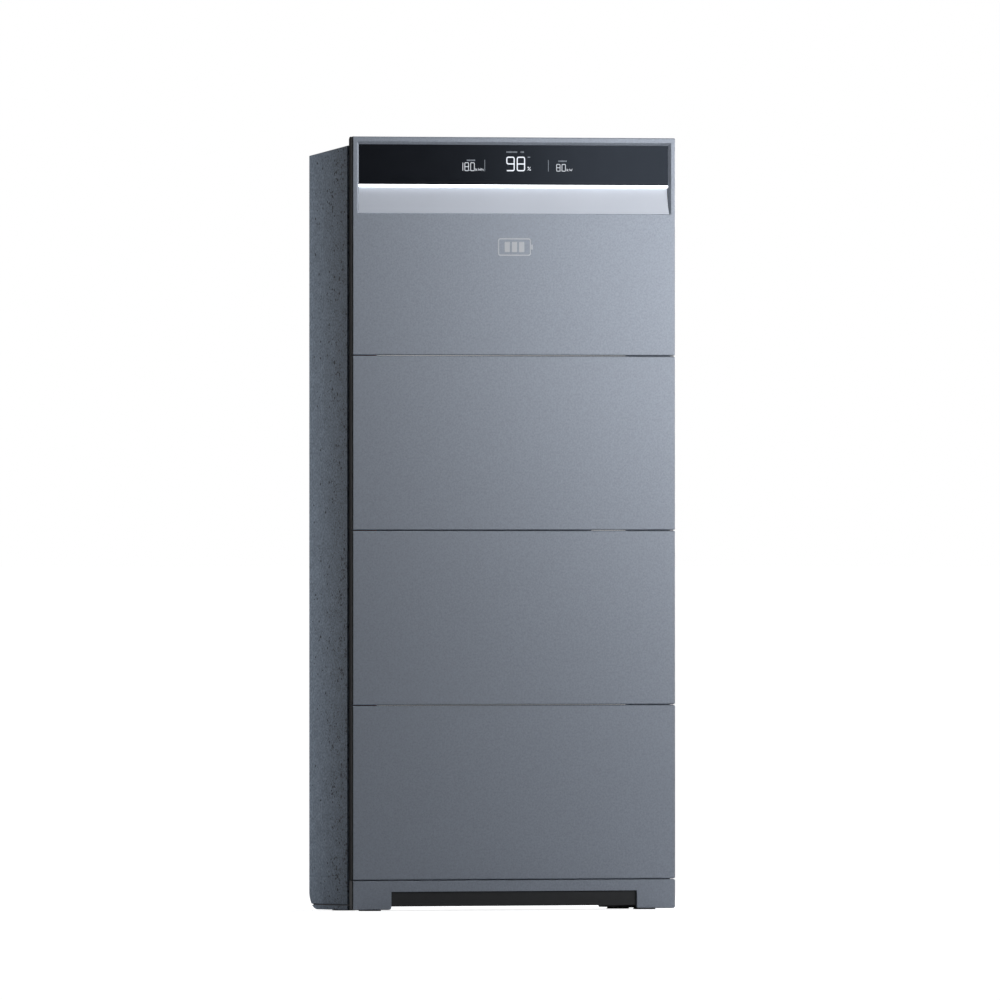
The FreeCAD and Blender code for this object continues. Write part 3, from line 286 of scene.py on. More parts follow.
@dataclass(frozen=True)
class Finish:
    """A surface finish: a shade that drifts a little, a gloss, and a grain that stands up.

    Attributes:
        name: The material's name.
        shade: The linear colour.
        drift: How far the shade wanders, as a share of it.
        drift_scale: Patches of drift per metre.
        metallic: 0 for paint and plastic, 1 for bare metal.
        roughness: The lowest and highest roughness.
        grain_scale: Grains per metre.
        grain_depth: The grain's height in metres.
        wave_depth: The height of the slow waves under the grain, in metres.
        coat: Weight of a clear coat over it.
        specular: Strength of the surface reflection; 0.5 is common for paint and plastic.
        tint: Colour of the surface reflection.
    """

    name: str
    shade: Colour
    drift: float = 0.05
    drift_scale: float = 14.0
    metallic: float = 0.0
    roughness: tuple[float, float] = (0.42, 0.52)
    grain_scale: float = 900.0
    grain_depth: float = 0.02 * MM
    wave_depth: float = 0.0
    coat: float = 0.0
    specular: float = 0.5
    tint: Colour = (1.0, 1.0, 1.0)

    def material(self) -> bpy.types.Material:
        """The finish's material, made the first time that it is asked for."""
        found = bpy.data.materials.get(self.name)
        return found if found is not None else self.make()

    def make(self) -> bpy.types.Material:
        """Builds the material.

        Returns:
            The new material.
        """
        bench = Bench(self.name)
        bench.feed("Base Color", self.colour(bench))
        bench.feed("Roughness", self.gloss(bench))
        bench.feed("Normal", self.relief(bench))
        bench.feed("Metallic", self.metallic)
        bench.feed("Coat Weight", self.coat)
        bench.feed("Coat Roughness", COAT_GLOSS)
        bench.feed("Specular IOR Level", self.specular)
        bench.feed("Specular Tint", self.tint)
        self.extras(bench)
        return bench.material

    def colour(self, bench: Bench) -> Socket:
        """The base colour: the shade, a little darker and lighter in slow patches and fine grains."""
        patches = bench.noise(self.drift_scale, 4.0)
        grains = bench.noise(self.grain_scale, 1.0)
        both = bench.maths("ADD", bench.maths("MULTIPLY", patches, 0.6), bench.maths("MULTIPLY", grains, 0.4))
        dark, light = (scaled(self.shade, 1 + side * self.drift) for side in (-1, 1))
        return bench.mix(bench.spread(both), dark, light)

    def gloss(self, bench: Bench) -> Socket:
        """The roughness: uneven, as handling and curing leave it."""
        low, high = self.roughness
        return bench.spread(bench.noise(self.drift_scale * 3, 5.0), low, high)

    def relief(self, bench: Bench) -> Socket:
        """The normal: a fine grain over slow waves."""
        under = None
        if self.wave_depth:
            under = bench.bump(bench.noise(WAVE_SCALE, 1.0), self.wave_depth)
        return bench.bump(bench.noise(self.grain_scale, 2.0), self.grain_depth, under)

    def extras(self, bench: Bench) -> None:
        """Sets what only some finishes have."""


@dataclass(frozen=True)
class PanelCoat(Finish):
    """The front panels' paint, with painted shade in near-black on the return at the panels' left and right
    edges.

    Attributes:
        half_width: From the middle to where the return starts.
        face: Depth at which the paint ends on the return.
        painted_return_shade: Painted shade on the return, as a near-black linear colour.
    """

    half_width: float = 0.3336
    face: float = -0.08575
    # Painted shade: the near-black colour that stands in for the shade on the panels' returns.
    painted_return_shade: Colour = (0.006, 0.007, 0.009)

    def colour(self, bench: Bench) -> Socket:
        """Paint on the face, painted shade on the return."""
        paint = super().colour(bench)
        out = bench.remap(bench.maths("ABSOLUTE", bench.axis("X")), self.half_width, self.half_width + BLEND)
        deep = bench.remap(bench.axis("Y"), self.face, self.face + BLEND)
        # Painted shade: the return at the outer left and right edges turns near-black behind the painted
        # face.
        return bench.mix(bench.maths("MULTIPLY", out, deep), paint, self.painted_return_shade)


@dataclass(frozen=True)
class SandCoat(Finish):
    """A coarse cast coat with dark pores, more porous towards the front edge, and with painted shade that
    darkens it towards there.

    Attributes:
        front: Depth of the cover's front edge.
        back: Depth of its rear edge.
        painted_front_shade: Painted shade: the colour at the front edge as a share of the colour at the rear.
        lump_scale: Lumps per metre.
        lump_depth: Height of the lumps, in metres.
        lump_shades: The shares of the shade in the hollows and on the lumps.
        pore_scale: Large pores per metre, if every one is there.
        pore_radius: The widest pore's radius as a share of the pores' spacing.
        pore_chance: The share of pores that are there, at the front edge and at the rear edge.
        small_pores: How many times closer the small pores stand than the large ones.
        pore_shades: The shares of the shade in large pores and in small ones.
        cluster_scale: Clusters of pores per metre.
        clusters: How much rarer and more common pores are between clusters and in them.
        headroom: The shade as a share of the lightest colour that the lumps can reach.
    """

    front: float = -0.0655
    back: float = 0.086
    # Painted shade: the front edge is only half as light as the rear.
    painted_front_shade: float = 0.5
    lump_scale: float = 230.0
    lump_depth: float = 0.12 * MM
    lump_shades: tuple[float, float] = (0.76, 1.24)
    pore_scale: float = 150.0
    pore_radius: float = 0.44
    pore_chance: tuple[float, float] = (0.95, -0.05)
    small_pores: float = 2.3
    pore_shades: tuple[float, float] = (0.22, 0.5)
    cluster_scale: float = 32.0
    clusters: tuple[float, float] = (0.35, 1.3)
    headroom: float = 0.7

    def along(self, bench: Bench, front: float, back: float) -> Socket:
        """A value that runs evenly from the front edge to the rear edge."""
        return bench.remap(bench.axis("Y"), self.front, self.back, front, back)

    def pores(self, bench: Bench, scale: float) -> Socket:
        """How much of the surface is left: 1 on the coat and 0 in a pore.

        Args:
            bench: The material's bench.
            scale: Pores per metre, if every one is there.

        Returns:
            The share's socket.
        """
        distance, colour = bench.cells(scale)
        lot = bench.add("ShaderNodeSeparateColor")
        bench.join(colour, lot.inputs["Color"])
        clusters = bench.remap(bench.noise(self.cluster_scale), 0.35, 0.65, *self.clusters)
        chance = bench.maths("MULTIPLY", self.along(bench, *self.pore_chance), clusters)
        missing = bench.maths("GREATER_THAN", lot.outputs["Red"], chance)
        size = bench.maths("MULTIPLY", lot.outputs["Green"], self.pore_radius)
        depth = bench.remap(bench.maths("SUBTRACT", distance, size), 0.0, 0.08)
        return bench.maths("MAXIMUM", depth, missing)

    def colour(self, bench: Bench) -> Socket:
        """The coat's colour: painted shade towards the front edge, clouds, lumps and two sizes of pores."""
        # Painted shade: darker towards the front edge, running from the front share there to the full colour
        # at the rear.
        light = self.along(bench, self.painted_front_shade, 1.0)
        large, small = self.pore_shades
        factors = (
            bench.spread(bench.noise(self.drift_scale, 4.0), 1 - self.drift, 1 + self.drift),
            bench.remap(bench.noise(self.lump_scale, 3.0), 0.36, 0.64, *self.lump_shades),
            bench.remap(self.pores(bench, self.pore_scale), 0.0, 1.0, large, 1.0),
            bench.remap(self.pores(bench, self.pore_scale * self.small_pores), 0.0, 1.0, small, 1.0),
        )
        for factor in factors:
            light = bench.maths("MULTIPLY", light, factor)
        share = bench.maths("MULTIPLY", light, self.headroom)
        return bench.mix(share, (0.0, 0.0, 0.0), scaled(self.shade, 1 / self.headroom))

    def relief(self, bench: Bench) -> Socket:
        """Pores sunk into rounded lumps, with a finer grain on them."""
        lumps = bench.bump(bench.noise(self.lump_scale), self.lump_depth)
        pits = bench.bump(self.pores(bench, self.pore_scale), self.lump_depth * 2, lumps)
        return bench.bump(bench.noise(self.lump_scale * 4), self.lump_depth * 0.3, pits)


@dataclass(frozen=True)
class Soled(Finish):
    """Plated steel with a moulded rubber sole.

    Attributes:
        sole: Height of the sole's top edge at rest.
        rubber: The sole's linear colour.
        rubber_gloss: How much rougher the rubber is than the plating.
    """

    sole: float = 0.0035
    rubber: Colour = (0.012, 0.012, 0.013)
    rubber_gloss: float = 0.4

    def extras(self, bench: Bench) -> None:
        """Swaps colour, metal and gloss under the sole's edge."""
        low = bench.remap(bench.axis("Z"), self.sole, self.sole + BLEND, 1.0, 0.0)
        inputs = bench.shader.inputs
        plated, polish = (inputs[name].links[0].from_socket for name in ("Base Color", "Roughness"))
        bench.feed("Base Color", bench.mix(low, plated, self.rubber))
        bench.feed("Metallic", bench.maths("SUBTRACT", 1.0, low))
        bench.feed("Roughness", bench.maths("ADD", polish, bench.maths("MULTIPLY", low, self.rubber_gloss)))


@dataclass(frozen=True)
class DrawnMetal(Finish):
    """Bare metal with fine lines along one direction.

    Attributes:
        stretch: Lines per metre across each axis; a small number draws them out along that axis.
    """

    stretch: tuple[float, float, float] = (900.0, 900.0, 25.0)

    def lines(self, bench: Bench) -> Socket:
        """Noise that is drawn out along one axis."""
        return bench.noise(1.0, 3.0, bench.stretched(self.stretch))

    def relief(self, bench: Bench) -> Socket:
        """Fine lines that stand up."""
        return bench.bump(self.lines(bench), self.grain_depth)

    def gloss(self, bench: Bench) -> Socket:
        """Roughness that changes from line to line."""
        return bench.spread(self.lines(bench), *self.roughness)


@dataclass(frozen=True)
class BoardLacquer(Finish):
    """Green solder lacquer over copper tracks, with bare pads.

    Attributes:
        track_scale: Rows of tracks per metre.
        pad_scale: Pads per metre.
        tin: The pads' linear colour.
    """

    track_scale: float = 220.0
    pad_scale: float = 180.0
    tin: Colour = tone(190, 188, 176)

    def colour(self, bench: Bench) -> Socket:
        """Lacquer, lighter over the tracks, with tinned pads on it."""
        tracks = bench.add("ShaderNodeTexBrick")
        bench.join(bench.stretched((self.track_scale,) * 3), tracks.inputs["Vector"])
        for socket, shade in (("Color1", 0.92), ("Color2", 1.08), ("Mortar", 1.9)):
            bench.join(scaled(self.shade, shade), tracks.inputs[socket])
        tracks.inputs["Scale"].default_value = 1.0
        tracks.inputs["Mortar Size"].default_value = 0.05
        pads = bench.remap(bench.cells(self.pad_scale)[0], 0.10, 0.13, 1.0, 0.0)
        return bench.mix(pads, tracks.outputs["Color"], self.tin)


@dataclass(frozen=True)
class Lit(Finish):
    """A surface that gives light.

    Attributes:
        glow: The light's linear colour.
        power: The light's strength.
    """

    glow: Colour = (1.0, 1.0, 1.0)
    power: float = 1.0

    def extras(self, bench: Bench) -> None:
        """Sets the light."""
        bench.feed("Emission Color", self.glow)
        bench.feed("Emission Strength", self.power)


class Finishes:
    """Every finish on the stack."""

    FRONT_COAT = PanelCoat(
        "front_coat", tone(152, 160, 173), drift=0.17, drift_scale=300.0, metallic=0.3,
        roughness=(0.40, 0.46), grain_scale=1300.0, grain_depth=0.012 * MM, wave_depth=0.01 * MM,
    )
    COVER_COAT = SandCoat(
        "cover_coat", tone(131, 144, 160), drift=0.12, drift_scale=70.0, roughness=(0.62, 0.75), specular=0.35
    )
    TRAY_PLASTIC = Finish(
        "tray_plastic", tone(15, 17, 20), roughness=(0.55, 0.66), grain_scale=1200.0, grain_depth=0.03 * MM,
        specular=0.15,
    )
    STAND_COAT = Finish("stand_coat", tone(36, 38, 41), roughness=(0.45, 0.58), wave_depth=0.03 * MM)
    WINDOW_GLASS = Finish(
        "window_glass", tone(25, 27, 32), drift=0.02, roughness=(0.20, 0.23), grain_depth=0.0005 * MM,
        specular=0.11, tint=(0.82, 1.0, 1.28),
    )
    LIT_BAR = Lit(
        "lit_bar", tone(240, 243, 247), roughness=(0.30, 0.36), glow=(0.94, 0.97, 1.0), power=3.3
    )
    REFLECTOR = Finish(
        "reflector", tone(227, 234, 247), drift=0.02, roughness=(0.34, 0.42), grain_depth=0.006 * MM
    )
    CASE_COAT = Finish("case_coat", tone(172, 175, 180), roughness=(0.40, 0.50), wave_depth=0.03 * MM)
    CAST_ALLOY = Finish(
        "cast_alloy", tone(182, 184, 188), metallic=0.85, roughness=(0.48, 0.60), grain_scale=700.0,
        grain_depth=0.05 * MM,
    )
    ZINC = Finish("zinc", tone(196, 199, 203), drift=0.09, metallic=1.0, roughness=(0.30, 0.42))
    FOOT = Soled("foot", tone(176, 179, 184), drift=0.09, metallic=1.0, roughness=(0.30, 0.42))
    STRAP_STEEL = DrawnMetal(
        "strap_steel", tone(176, 178, 182), metallic=1.0, roughness=(0.26, 0.40), stretch=(20.0, 700.0, 700.0)
    )
    SEAL_RUBBER = Finish("seal_rubber", tone(28, 28, 29), roughness=(0.70, 0.82), grain_depth=0.05 * MM)
    CELL_FILM = Finish("cell_film", tone(38, 92, 170), roughness=(0.22, 0.30), wave_depth=0.04 * MM, coat=0.3)
    COPPER = DrawnMetal("copper", tone(206, 132, 96), metallic=1.0, roughness=(0.24, 0.38))
    BOARD = BoardLacquer("board", tone(20, 84, 52), roughness=(0.28, 0.38), coat=0.2)
    POWER_PARTS = Finish("power_parts", tone(120, 123, 128), metallic=0.5, roughness=(0.40, 0.55))
    RESIN = Finish("resin", tone(34, 34, 37), roughness=(0.30, 0.50), wave_depth=0.05 * MM)
    SLEEVE = Finish("sleeve", tone(48, 54, 66), roughness=(0.28, 0.36), coat=0.2)
    CONNECTOR = Finish("connector", tone(226, 112, 30), roughness=(0.32, 0.42))
    GUARD = Finish("guard", tone(196, 198, 200), roughness=(0.46, 0.56), grain_depth=0.04 * MM)
    DEVICE = Finish("device", tone(222, 221, 214), roughness=(0.36, 0.46))
    DEVICE_BLACK = Finish("device_black", tone(30, 31, 33), roughness=(0.38, 0.50))
    HANDLE_RED = Finish("handle_red", tone(196, 32, 28), roughness=(0.28, 0.38), coat=0.15)
    NYLON = Finish("nylon", tone(52, 54, 57), roughness=(0.40, 0.52))
    BUTTON_RING = Lit(
        "button_ring", tone(214, 218, 224), roughness=(0.3, 0.4), glow=(0.7, 0.88, 1.0), power=0.6
    )
    BUTTON_CAP = Finish("button_cap", tone(36, 38, 41), roughness=(0.24, 0.32), coat=0.2)
    FIGURES = Lit("figures", tone(150, 154, 160), glow=tone(228, 232, 240), power=0.95)
    FIGURES_SMALL = Lit("figures_small", tone(150, 154, 160), glow=tone(228, 232, 240), power=0.65)
    FIGURES_DIM = Lit("figures_dim", tone(90, 96, 104), glow=tone(170, 178, 190), power=0.5)
    MARK = Finish("mark", tone(222, 226, 232), roughness=(0.35, 0.42), grain_depth=0.004 * MM)
    PRINT_DARK = Finish("print_dark", tone(38, 40, 44), roughness=(0.45, 0.55))
    PLATE = DrawnMetal("plate", tone(188, 190, 194), metallic=0.8, roughness=(0.34, 0.46))


def dress(finish: Finish, *nodes: str) -> None:
    """Gives CAD nodes a finish.

    Args:
        finish: The finish.
        *nodes: The nodes' names.
    """
    for name in nodes:
        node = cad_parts[name]
        node.data.materials.clear()
        node.data.materials.append(finish.material())
        LOG.info("%s: %s", name, finish.name)


def soften(radius: float, *nodes: str) -> None:
    """Rounds the sharp edges of CAD nodes, so that they catch the light.

    Args:
        radius: The edge radius in metres.
        *nodes: The nodes' names.
    """
    for name in nodes:
        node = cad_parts[name]
        node.modifiers.new("weld", "WELD").merge_threshold = WELD_DISTANCE
        bevel = node.modifiers.new("edges", "BEVEL")
        bevel.width = radius
        bevel.segments = 2
        bevel.limit_method = "ANGLE"
        bevel.angle_limit = SHARP_ANGLE


# ---------------------------------------------------------------- meshes


class Shape:
    """A mesh that is put together from rings, ribbons and plates, in its own flat frame.

    X is to the right, Y is up and Z is outward. One call of settle() puts it in place.
    """

    def __init__(self) -> None:
        """Starts an empty mesh."""
        self.mesh = bmesh.new()

    def bridge(self, steps: Sequence[tuple[Sequence[Point], float]]) -> None:
        """Joins outlines of equal length into a skin, with a face at each end.

        Args:
            steps: Each outline with its height.
        """
        rows = [[self.mesh.verts.new((*p, height)) for p in outline] for outline, height in steps]
        self.band(rows)
        self.cap(rows)

    def band(self, rows: Sequence[Sequence[bmesh.types.BMVert]]) -> None:
        """Joins each row of vertices to the next, all the way round."""
        for low, high in zip(rows, rows[1:]):
            for n in range(len(low)):
                m = (n + 1) % len(low)
                self.mesh.faces.new((low[n], low[m], high[m], high[n]))

    def cap(self, rows: Sequence[Sequence[bmesh.types.BMVert]]) -> None:
        """Closes the first and the last row of vertices with a face."""
        self.mesh.faces.new(list(reversed(rows[0])))
        self.mesh.faces.new(rows[-1])

    def turned(self, profile: Sequence[Point], centre: Point, sides: int) -> None:
        """A solid of revolution about the outward axis.

        Args:
            profile: Radius and height at each step, from the bottom to the top.
            centre: The axis's place.
            sides: Facets round it.
        """
        self.bridge([(arc(centre, radius, sides), height) for radius, height in profile])

    def socket_screw(self, centre: Point, radius: float, height: float, base: float) -> None:
        """A domed screw head with a hexagon socket.

        Args:
            centre: The head's middle.
            radius: The head's radius.
            height: The head's height.
            base: How far out the head starts.
        """
        dome = ((0.96, 0.0), (1.0, 0.22), (0.93, 0.62), (0.74, 0.92), (0.58, 1.0))
        socket = ((0.4536, 1.0), (0.42, 0.9), (0.42, 0.35))
        middle, sixth = Vector(centre), math.pi / 3
        steps = []
        for reach, level in dome + socket:
            outline = []
            for n, spoke in enumerate(arc((0, 0), radius * reach, 24)):
                flat = math.cos((math.tau * n / 24 + sixth / 2) % sixth - sixth / 2)
                outline.append(middle + Vector(spoke) / (flat if (reach, level) in socket else 1.0))
            steps.append((outline, base + height * level))
        self.bridge(steps)

    def plate(self, outline: Sequence[Point], low: float, high: float, bevel: float = 0.0) -> None:
        """A flat plate with a bevelled front edge.

        Args:
            outline: The outline's points, anticlockwise seen from outside.
            low: How far out its back is.
            high: How far out its front is.
            bevel: The front edge's bevel.
        """
        steps = [(outline, low), (outline, high - bevel)]
        if bevel:
            steps.append((offset(outline, bevel, True), high))
        self.bridge(steps)

    def ribbon(
        self, points: Sequence[Point], width: float, low: float, high: float, closed: bool = False
    ) -> None:
        """A flat band of even width along a line.

        Args:
            points: The line's points.
            width: The band's width.
            low: How far out its back is.
            high: How far out its front is.
            closed: Whether the line's end joins its start.
        """
        left, right = (offset(points, side * width / 2, closed) for side in (1, -1))
        rows = []
        for a, b in zip(left, right):
            corners = ((*a, low), (*b, low), (*b, high), (*a, high))
            rows.append([self.mesh.verts.new(p) for p in corners])
        self.band(rows + rows[:1] if closed else rows)
        if not closed:
            self.cap(rows)

    def settle(self, name: str, place: Matrix, finish: Finish, body: Body, slot: str) -> None:
        """Makes the object, puts it in place and lets it ride on its body.

        Args:
            name: The piece's name.
            place: The matrix to the frame.
            finish: The piece's finish.
            body: The body that carries it.
            slot: The record's material slot; not used.
        """
        bmesh.ops.recalc_face_normals(self.mesh, faces=self.mesh.faces)
        data = bpy.data.meshes.new(name)
        self.mesh.to_mesh(data)
        self.mesh.free()
        data.transform(place)
        data.materials.append(finish.material())
        piece = bpy.data.objects.new(name, data)
        bpy.context.scene.collection.objects.link(piece)
        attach(piece, body.value)
        LOG.info("%s: %d faces, %s", name, len(data.polygons), finish.name)


def offset(points: Sequence[Point], distance: float, closed: bool) -> list[Point]:
    """Moves a line sideways, with mitred corners.

    Args:
        points: The line's points.
        distance: How far to the left.
        closed: Whether the line's end joins its start.

    Returns:
        The moved points.
    """
    moved = []
    count = len(points)
    for n in range(count):
        here = Vector(points[n])
        before = Vector(points[n - 1]) if closed or n > 0 else None
        after = Vector(points[(n + 1) % count]) if closed or n < count - 1 else None
        arms = [(here - before).normalized()] if before is not None else []
        arms += [(after - here).normalized()] if after is not None else []
        sides = [Vector((-a.y, a.x)) for a in arms]
        middle = sum(sides, Vector((0, 0))).normalized()
        moved.append(tuple(here + middle * distance / max(0.35, middle.dot(sides[0]))))
    return moved


def arc(centre: Point, radius: float, steps: int, start: float = 0.0, sweep: float = 360.0) -> list[Point]:
    """Points in even steps along an arc.

    Args:
        centre: The arc's centre.
        radius: The arc's radius.
        steps: How many steps the arc has.
        start: Degrees anticlockwise from the right to its start.
        sweep: Degrees from its start to its end.

    Returns:
        The points; those of a whole turn leave out the end, which is the start again.
    """
    turns = [math.radians(start + sweep * n / steps) for n in range(steps + (sweep < 360))]
    return [(centre[0] + radius * math.cos(t), centre[1] + radius * math.sin(t)) for t in turns]


def millimetres(*points: Point) -> list[Point]:
    """Points that are given in millimetres, in metres."""
    return [(x * MM, y * MM) for x, y in points]


def rounded(points: Sequence[Point], radius: float, closed: bool = False, steps: int = 5) -> list[Point]:
    """Rounds the corners of a line.

    Args:
        points: The line's corners.
        radius: The corner radius.
        closed: Whether the line's end joins its start.
        steps: Facets round each corner.

    Returns:
        The line with an arc at each corner.
    """
    made = []
    count = len(points)
    for n in range(count):
        here = Vector(points[n])
        if not closed and n in (0, count - 1):
            made.append(tuple(here))
            continue
        before, after = Vector(points[n - 1]), Vector(points[(n + 1) % count])
        back, ahead = (before - here).normalized(), (after - here).normalized()
        half = math.acos(max(-1.0, min(1.0, back.dot(ahead)))) / 2
        reach = min(radius / math.tan(half), 0.49 * (before - here).length, 0.49 * (after - here).length)
        start, end = here + back * reach, here + ahead * reach
        for step in range(steps + 1):
            share = step / steps
            made.append(tuple(start * (1 - share) ** 2 + here * 2 * share * (1 - share) + end * share**2))
    return made


def box_outline(width: float, height: float, radius: float = 0.0, centre: Point = (0, 0)) -> list[Point]:
    """An anticlockwise rectangle with rounded corners."""
    x, y = centre
    w, h = width / 2, height / 2
    corners = [(x - w, y - h), (x + w, y - h), (x + w, y + h), (x - w, y + h)]
    return rounded(corners, radius, True) if radius else corners


# ---------------------------------------------------------------- display


class Glyph(Enum):
    """The strokes of each figure on a cell one wide and two high; a closed stroke ends where it starts."""

    ZERO = ("0", (((0, 0), (1, 0), (1, 2), (0, 2), (0, 0)),), 1.0)
    ONE = ("1", (((0, 0), (0, 2)),), 0.0)
    EIGHT = ("8", (((0, 0), (1, 0), (1, 2), (0, 2), (0, 0)), ((0, 1), (1, 1))), 1.0)
    NINE = ("9", (((0, 0), (1, 0), (1, 2), (0, 2), (0, 1), (1, 1)),), 1.0)
    POINT = (".", (((0, 0), (0, 0.12)),), 0.0)
    KILO = ("k", (((0, 0), (0, 2)), ((0, 0.7), (0.9, 1.5)), ((0.25, 0.95), (0.95, 0))), 1.0)
    WATT = ("W", (((0, 2), (0.35, 0), (0.8, 1.6), (1.25, 0), (1.6, 2)),), 1.6)
    HOUR = ("h", (((0, 0), (0, 2)), ((0, 1.2), (0.9, 1.2), (0.9, 0))), 1.0)
    PERCENT = (
        "%",
        (
            ((0, 0), (1, 2)),
            ((0, 1.45), (0.28, 1.45), (0.28, 2), (0, 2), (0, 1.45)),
            ((0.72, 0), (1, 0), (1, 0.55), (0.72, 0.55), (0.72, 0)),
        ),
        1.0,
    )

    @classmethod
    def named(cls, letter: str) -> "Glyph":
        """The glyph of a letter."""
        return next(glyph for glyph in cls if glyph.value[0] == letter)


@dataclass(frozen=True)
class Figures:
    """Lit figures drawn with strokes of even width. Lengths are metres.

    Attributes:
        width: The figures' width over their strokes.
        height: The figures' height over their strokes.
        weight: The strokes' width.
        gap: The clear gap between two figures.
        closer: How much closer a point stands to its neighbours, as a share of the gap.
    """

    width: float
    height: float
    weight: float
    gap: float
    closer: float = 0.7

    def draw(self, shape: Shape, text: str, left: float, base: float, skin: float) -> float:
        """Draws a row of figures.

        Args:
            shape: The mesh to draw into.
            text: The figures.
            left: The row's left edge.
            base: The row's foot.
            skin: How far the figures stand out.

        Returns:
            The row's right edge.
        """
        across, up = self.width - self.weight, (self.height - self.weight) / 2
        at = left
        for letter in text:
            _, strokes, breadth = Glyph.named(letter).value
            nudge = self.gap * self.closer if letter == "." else 0.0
            at -= nudge
            for stroke in strokes:
                x0, y0 = at + self.weight / 2, base + self.weight / 2
                points = [(x0 + x * across, y0 + y * up) for x, y in stroke]
                closed = len(points) > 2 and points[0] == points[-1]
                line = rounded(points[:-1] if closed else points, self.width * 0.2, closed)
                shape.ribbon(line, self.weight, 0, skin, closed)
            at += breadth * across + self.weight + self.gap - nudge
        return at - self.gap


@dataclass(frozen=True)
class Reading:
    """A group of figures with its unit after it.

    Attributes:
        text: The figures' text.
        figures: The figures' size.
        left: The group's left edge.
        unit: The unit's text.
        unit_figures: The unit's size.
        unit_gap: From the figures to the unit.
        unit_rise: The unit's height above the figures' foot.
    """

    text: str
    figures: Figures
    left: float
    unit: str
    unit_figures: Figures
    unit_gap: float
    unit_rise: float = 0.0

    def draw(self, shape: Shape, base: float, skin: float) -> None:
        """Draws the figures and their unit.

        Args:
            shape: The mesh to draw into.
            base: The figures' foot.
            skin: How far they stand out.
        """
        end = self.figures.draw(shape, self.text, self.left, base, skin)
        self.unit_figures.draw(shape, self.unit, end + self.unit_gap, base + self.unit_rise, skin)


@dataclass(frozen=True)
class Display:
    """The dark window, its figures, the line of light and the sloping panel under it.

    Attributes:
        charge: The large figures in the middle.
        stored: The figures on the left.
        power: The figures on the right.
        aside: How far the figures are moved to the right.
        base: The foot of the figures below the window's middle.
        skin: How far the figures stand off the glass.
        dividers: Where the upright lines between the groups are.
        divider_size: Their width and height.
        gauges: Each gauge's first bar, its height above the window's middle and its count of bars.
        bar: The bars' width, and half their height.
        bar_pitch: From bar to bar.
        dash: The short line over the unit: its ends across the window, and its height.
        dash_weight: The short line's width.
    """

    charge: Reading = Reading(
        "98", Figures(17.4 * MM, 26.8 * MM, 2.2 * MM, 4.2 * MM), -18.6 * MM,
        "%", Figures(6.6 * MM, 7.2 * MM, 1.0 * MM, 0), 5.0 * MM, 1.2 * MM,
    )
    stored: Reading = Reading(
        "18.0", Figures(9.0 * MM, 15.8 * MM, 1.25 * MM, 2.9 * MM), -109.4 * MM,
        "kWh", Figures(4.4 * MM, 5.6 * MM, 0.85 * MM, 0.9 * MM), 1.6 * MM,
    )
    power: Reading = Reading(
        "8.0", Figures(8.4 * MM, 13.6 * MM, 1.2 * MM, 2.6 * MM), 85.2 * MM,
        "kW", Figures(4.4 * MM, 5.6 * MM, 0.85 * MM, 0.9 * MM), 2.0 * MM,
    )
    aside: float = 3.2 * MM
    base: float = -12.3 * MM
    skin: float = 0.1 * MM
    dividers: tuple[float, float] = (-63.3 * MM, 68.7 * MM)
    divider_size: tuple[float, float] = (0.9 * MM, 20.7 * MM)
    gauges: tuple[tuple[float, float, int], ...] = (
        (-17.4 * MM, 22.8 * MM, 9), (12.0 * MM, 22.8 * MM, 3),
        (-99.6 * MM, 7.3 * MM, 7), (90.6 * MM, 6.6 * MM, 7),
    )
    bar: float = 1.35 * MM
    bar_pitch: float = 2.55 * MM
    dash: tuple[float, float, float] = (25.6 * MM, 30.8 * MM, 13.6 * MM)
    dash_weight: float = 1.3 * MM

    def build(self) -> None:
        """Dresses the display's nodes and draws its figures."""
        dress(Finishes.WINDOW_GLASS, "display_glass")
        dress(Finishes.BOARD, "display_board")
        dress(Finishes.LIT_BAR, "light_guide")
        dress(Finishes.REFLECTOR, "light_reflector")
        low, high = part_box("display_glass")
        guide_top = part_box("light_guide")[1].z
        place = Facing.FRONT.place(Vector((self.aside, low.y, (guide_top + high.z) / 2)))
        for name, finish, readings in (
            ("display_charge", Finishes.FIGURES, (self.charge,)),
            ("display_readings", Finishes.FIGURES_SMALL, (self.stored, self.power)),
        ):
            shape = Shape()
            for reading in readings:
                reading.draw(shape, self.base, self.skin)
            shape.settle(name, place, finish, Body.STACK, "light_diffuser")
        self.captions(place)

    def captions(self, place: Matrix) -> None:
        """Thin dividers, a gauge of short upright bars over each group, and the line over the unit.

        Args:
            place: The matrix from the window to the frame.
        """
        shape = Shape()
        weight, height = self.divider_size
        for x in self.dividers:
            shape.ribbon([(x, self.base), (x, self.base + height)], weight, 0, self.skin)
        for left, rise, count in self.gauges:
            for n in range(count):
                x = left + n * self.bar_pitch
                shape.ribbon([(x, rise - self.bar), (x, rise + self.bar)], self.bar, 0, self.skin)
        start, end, rise = self.dash
        shape.ribbon([(start, rise), (end, rise)], self.dash_weight, 0, self.skin)
        shape.settle("display_captions", place, Finishes.FIGURES_DIM, Body.STACK, "light_diffuser")


# ---------------------------------------------------------------- sub-assemblies


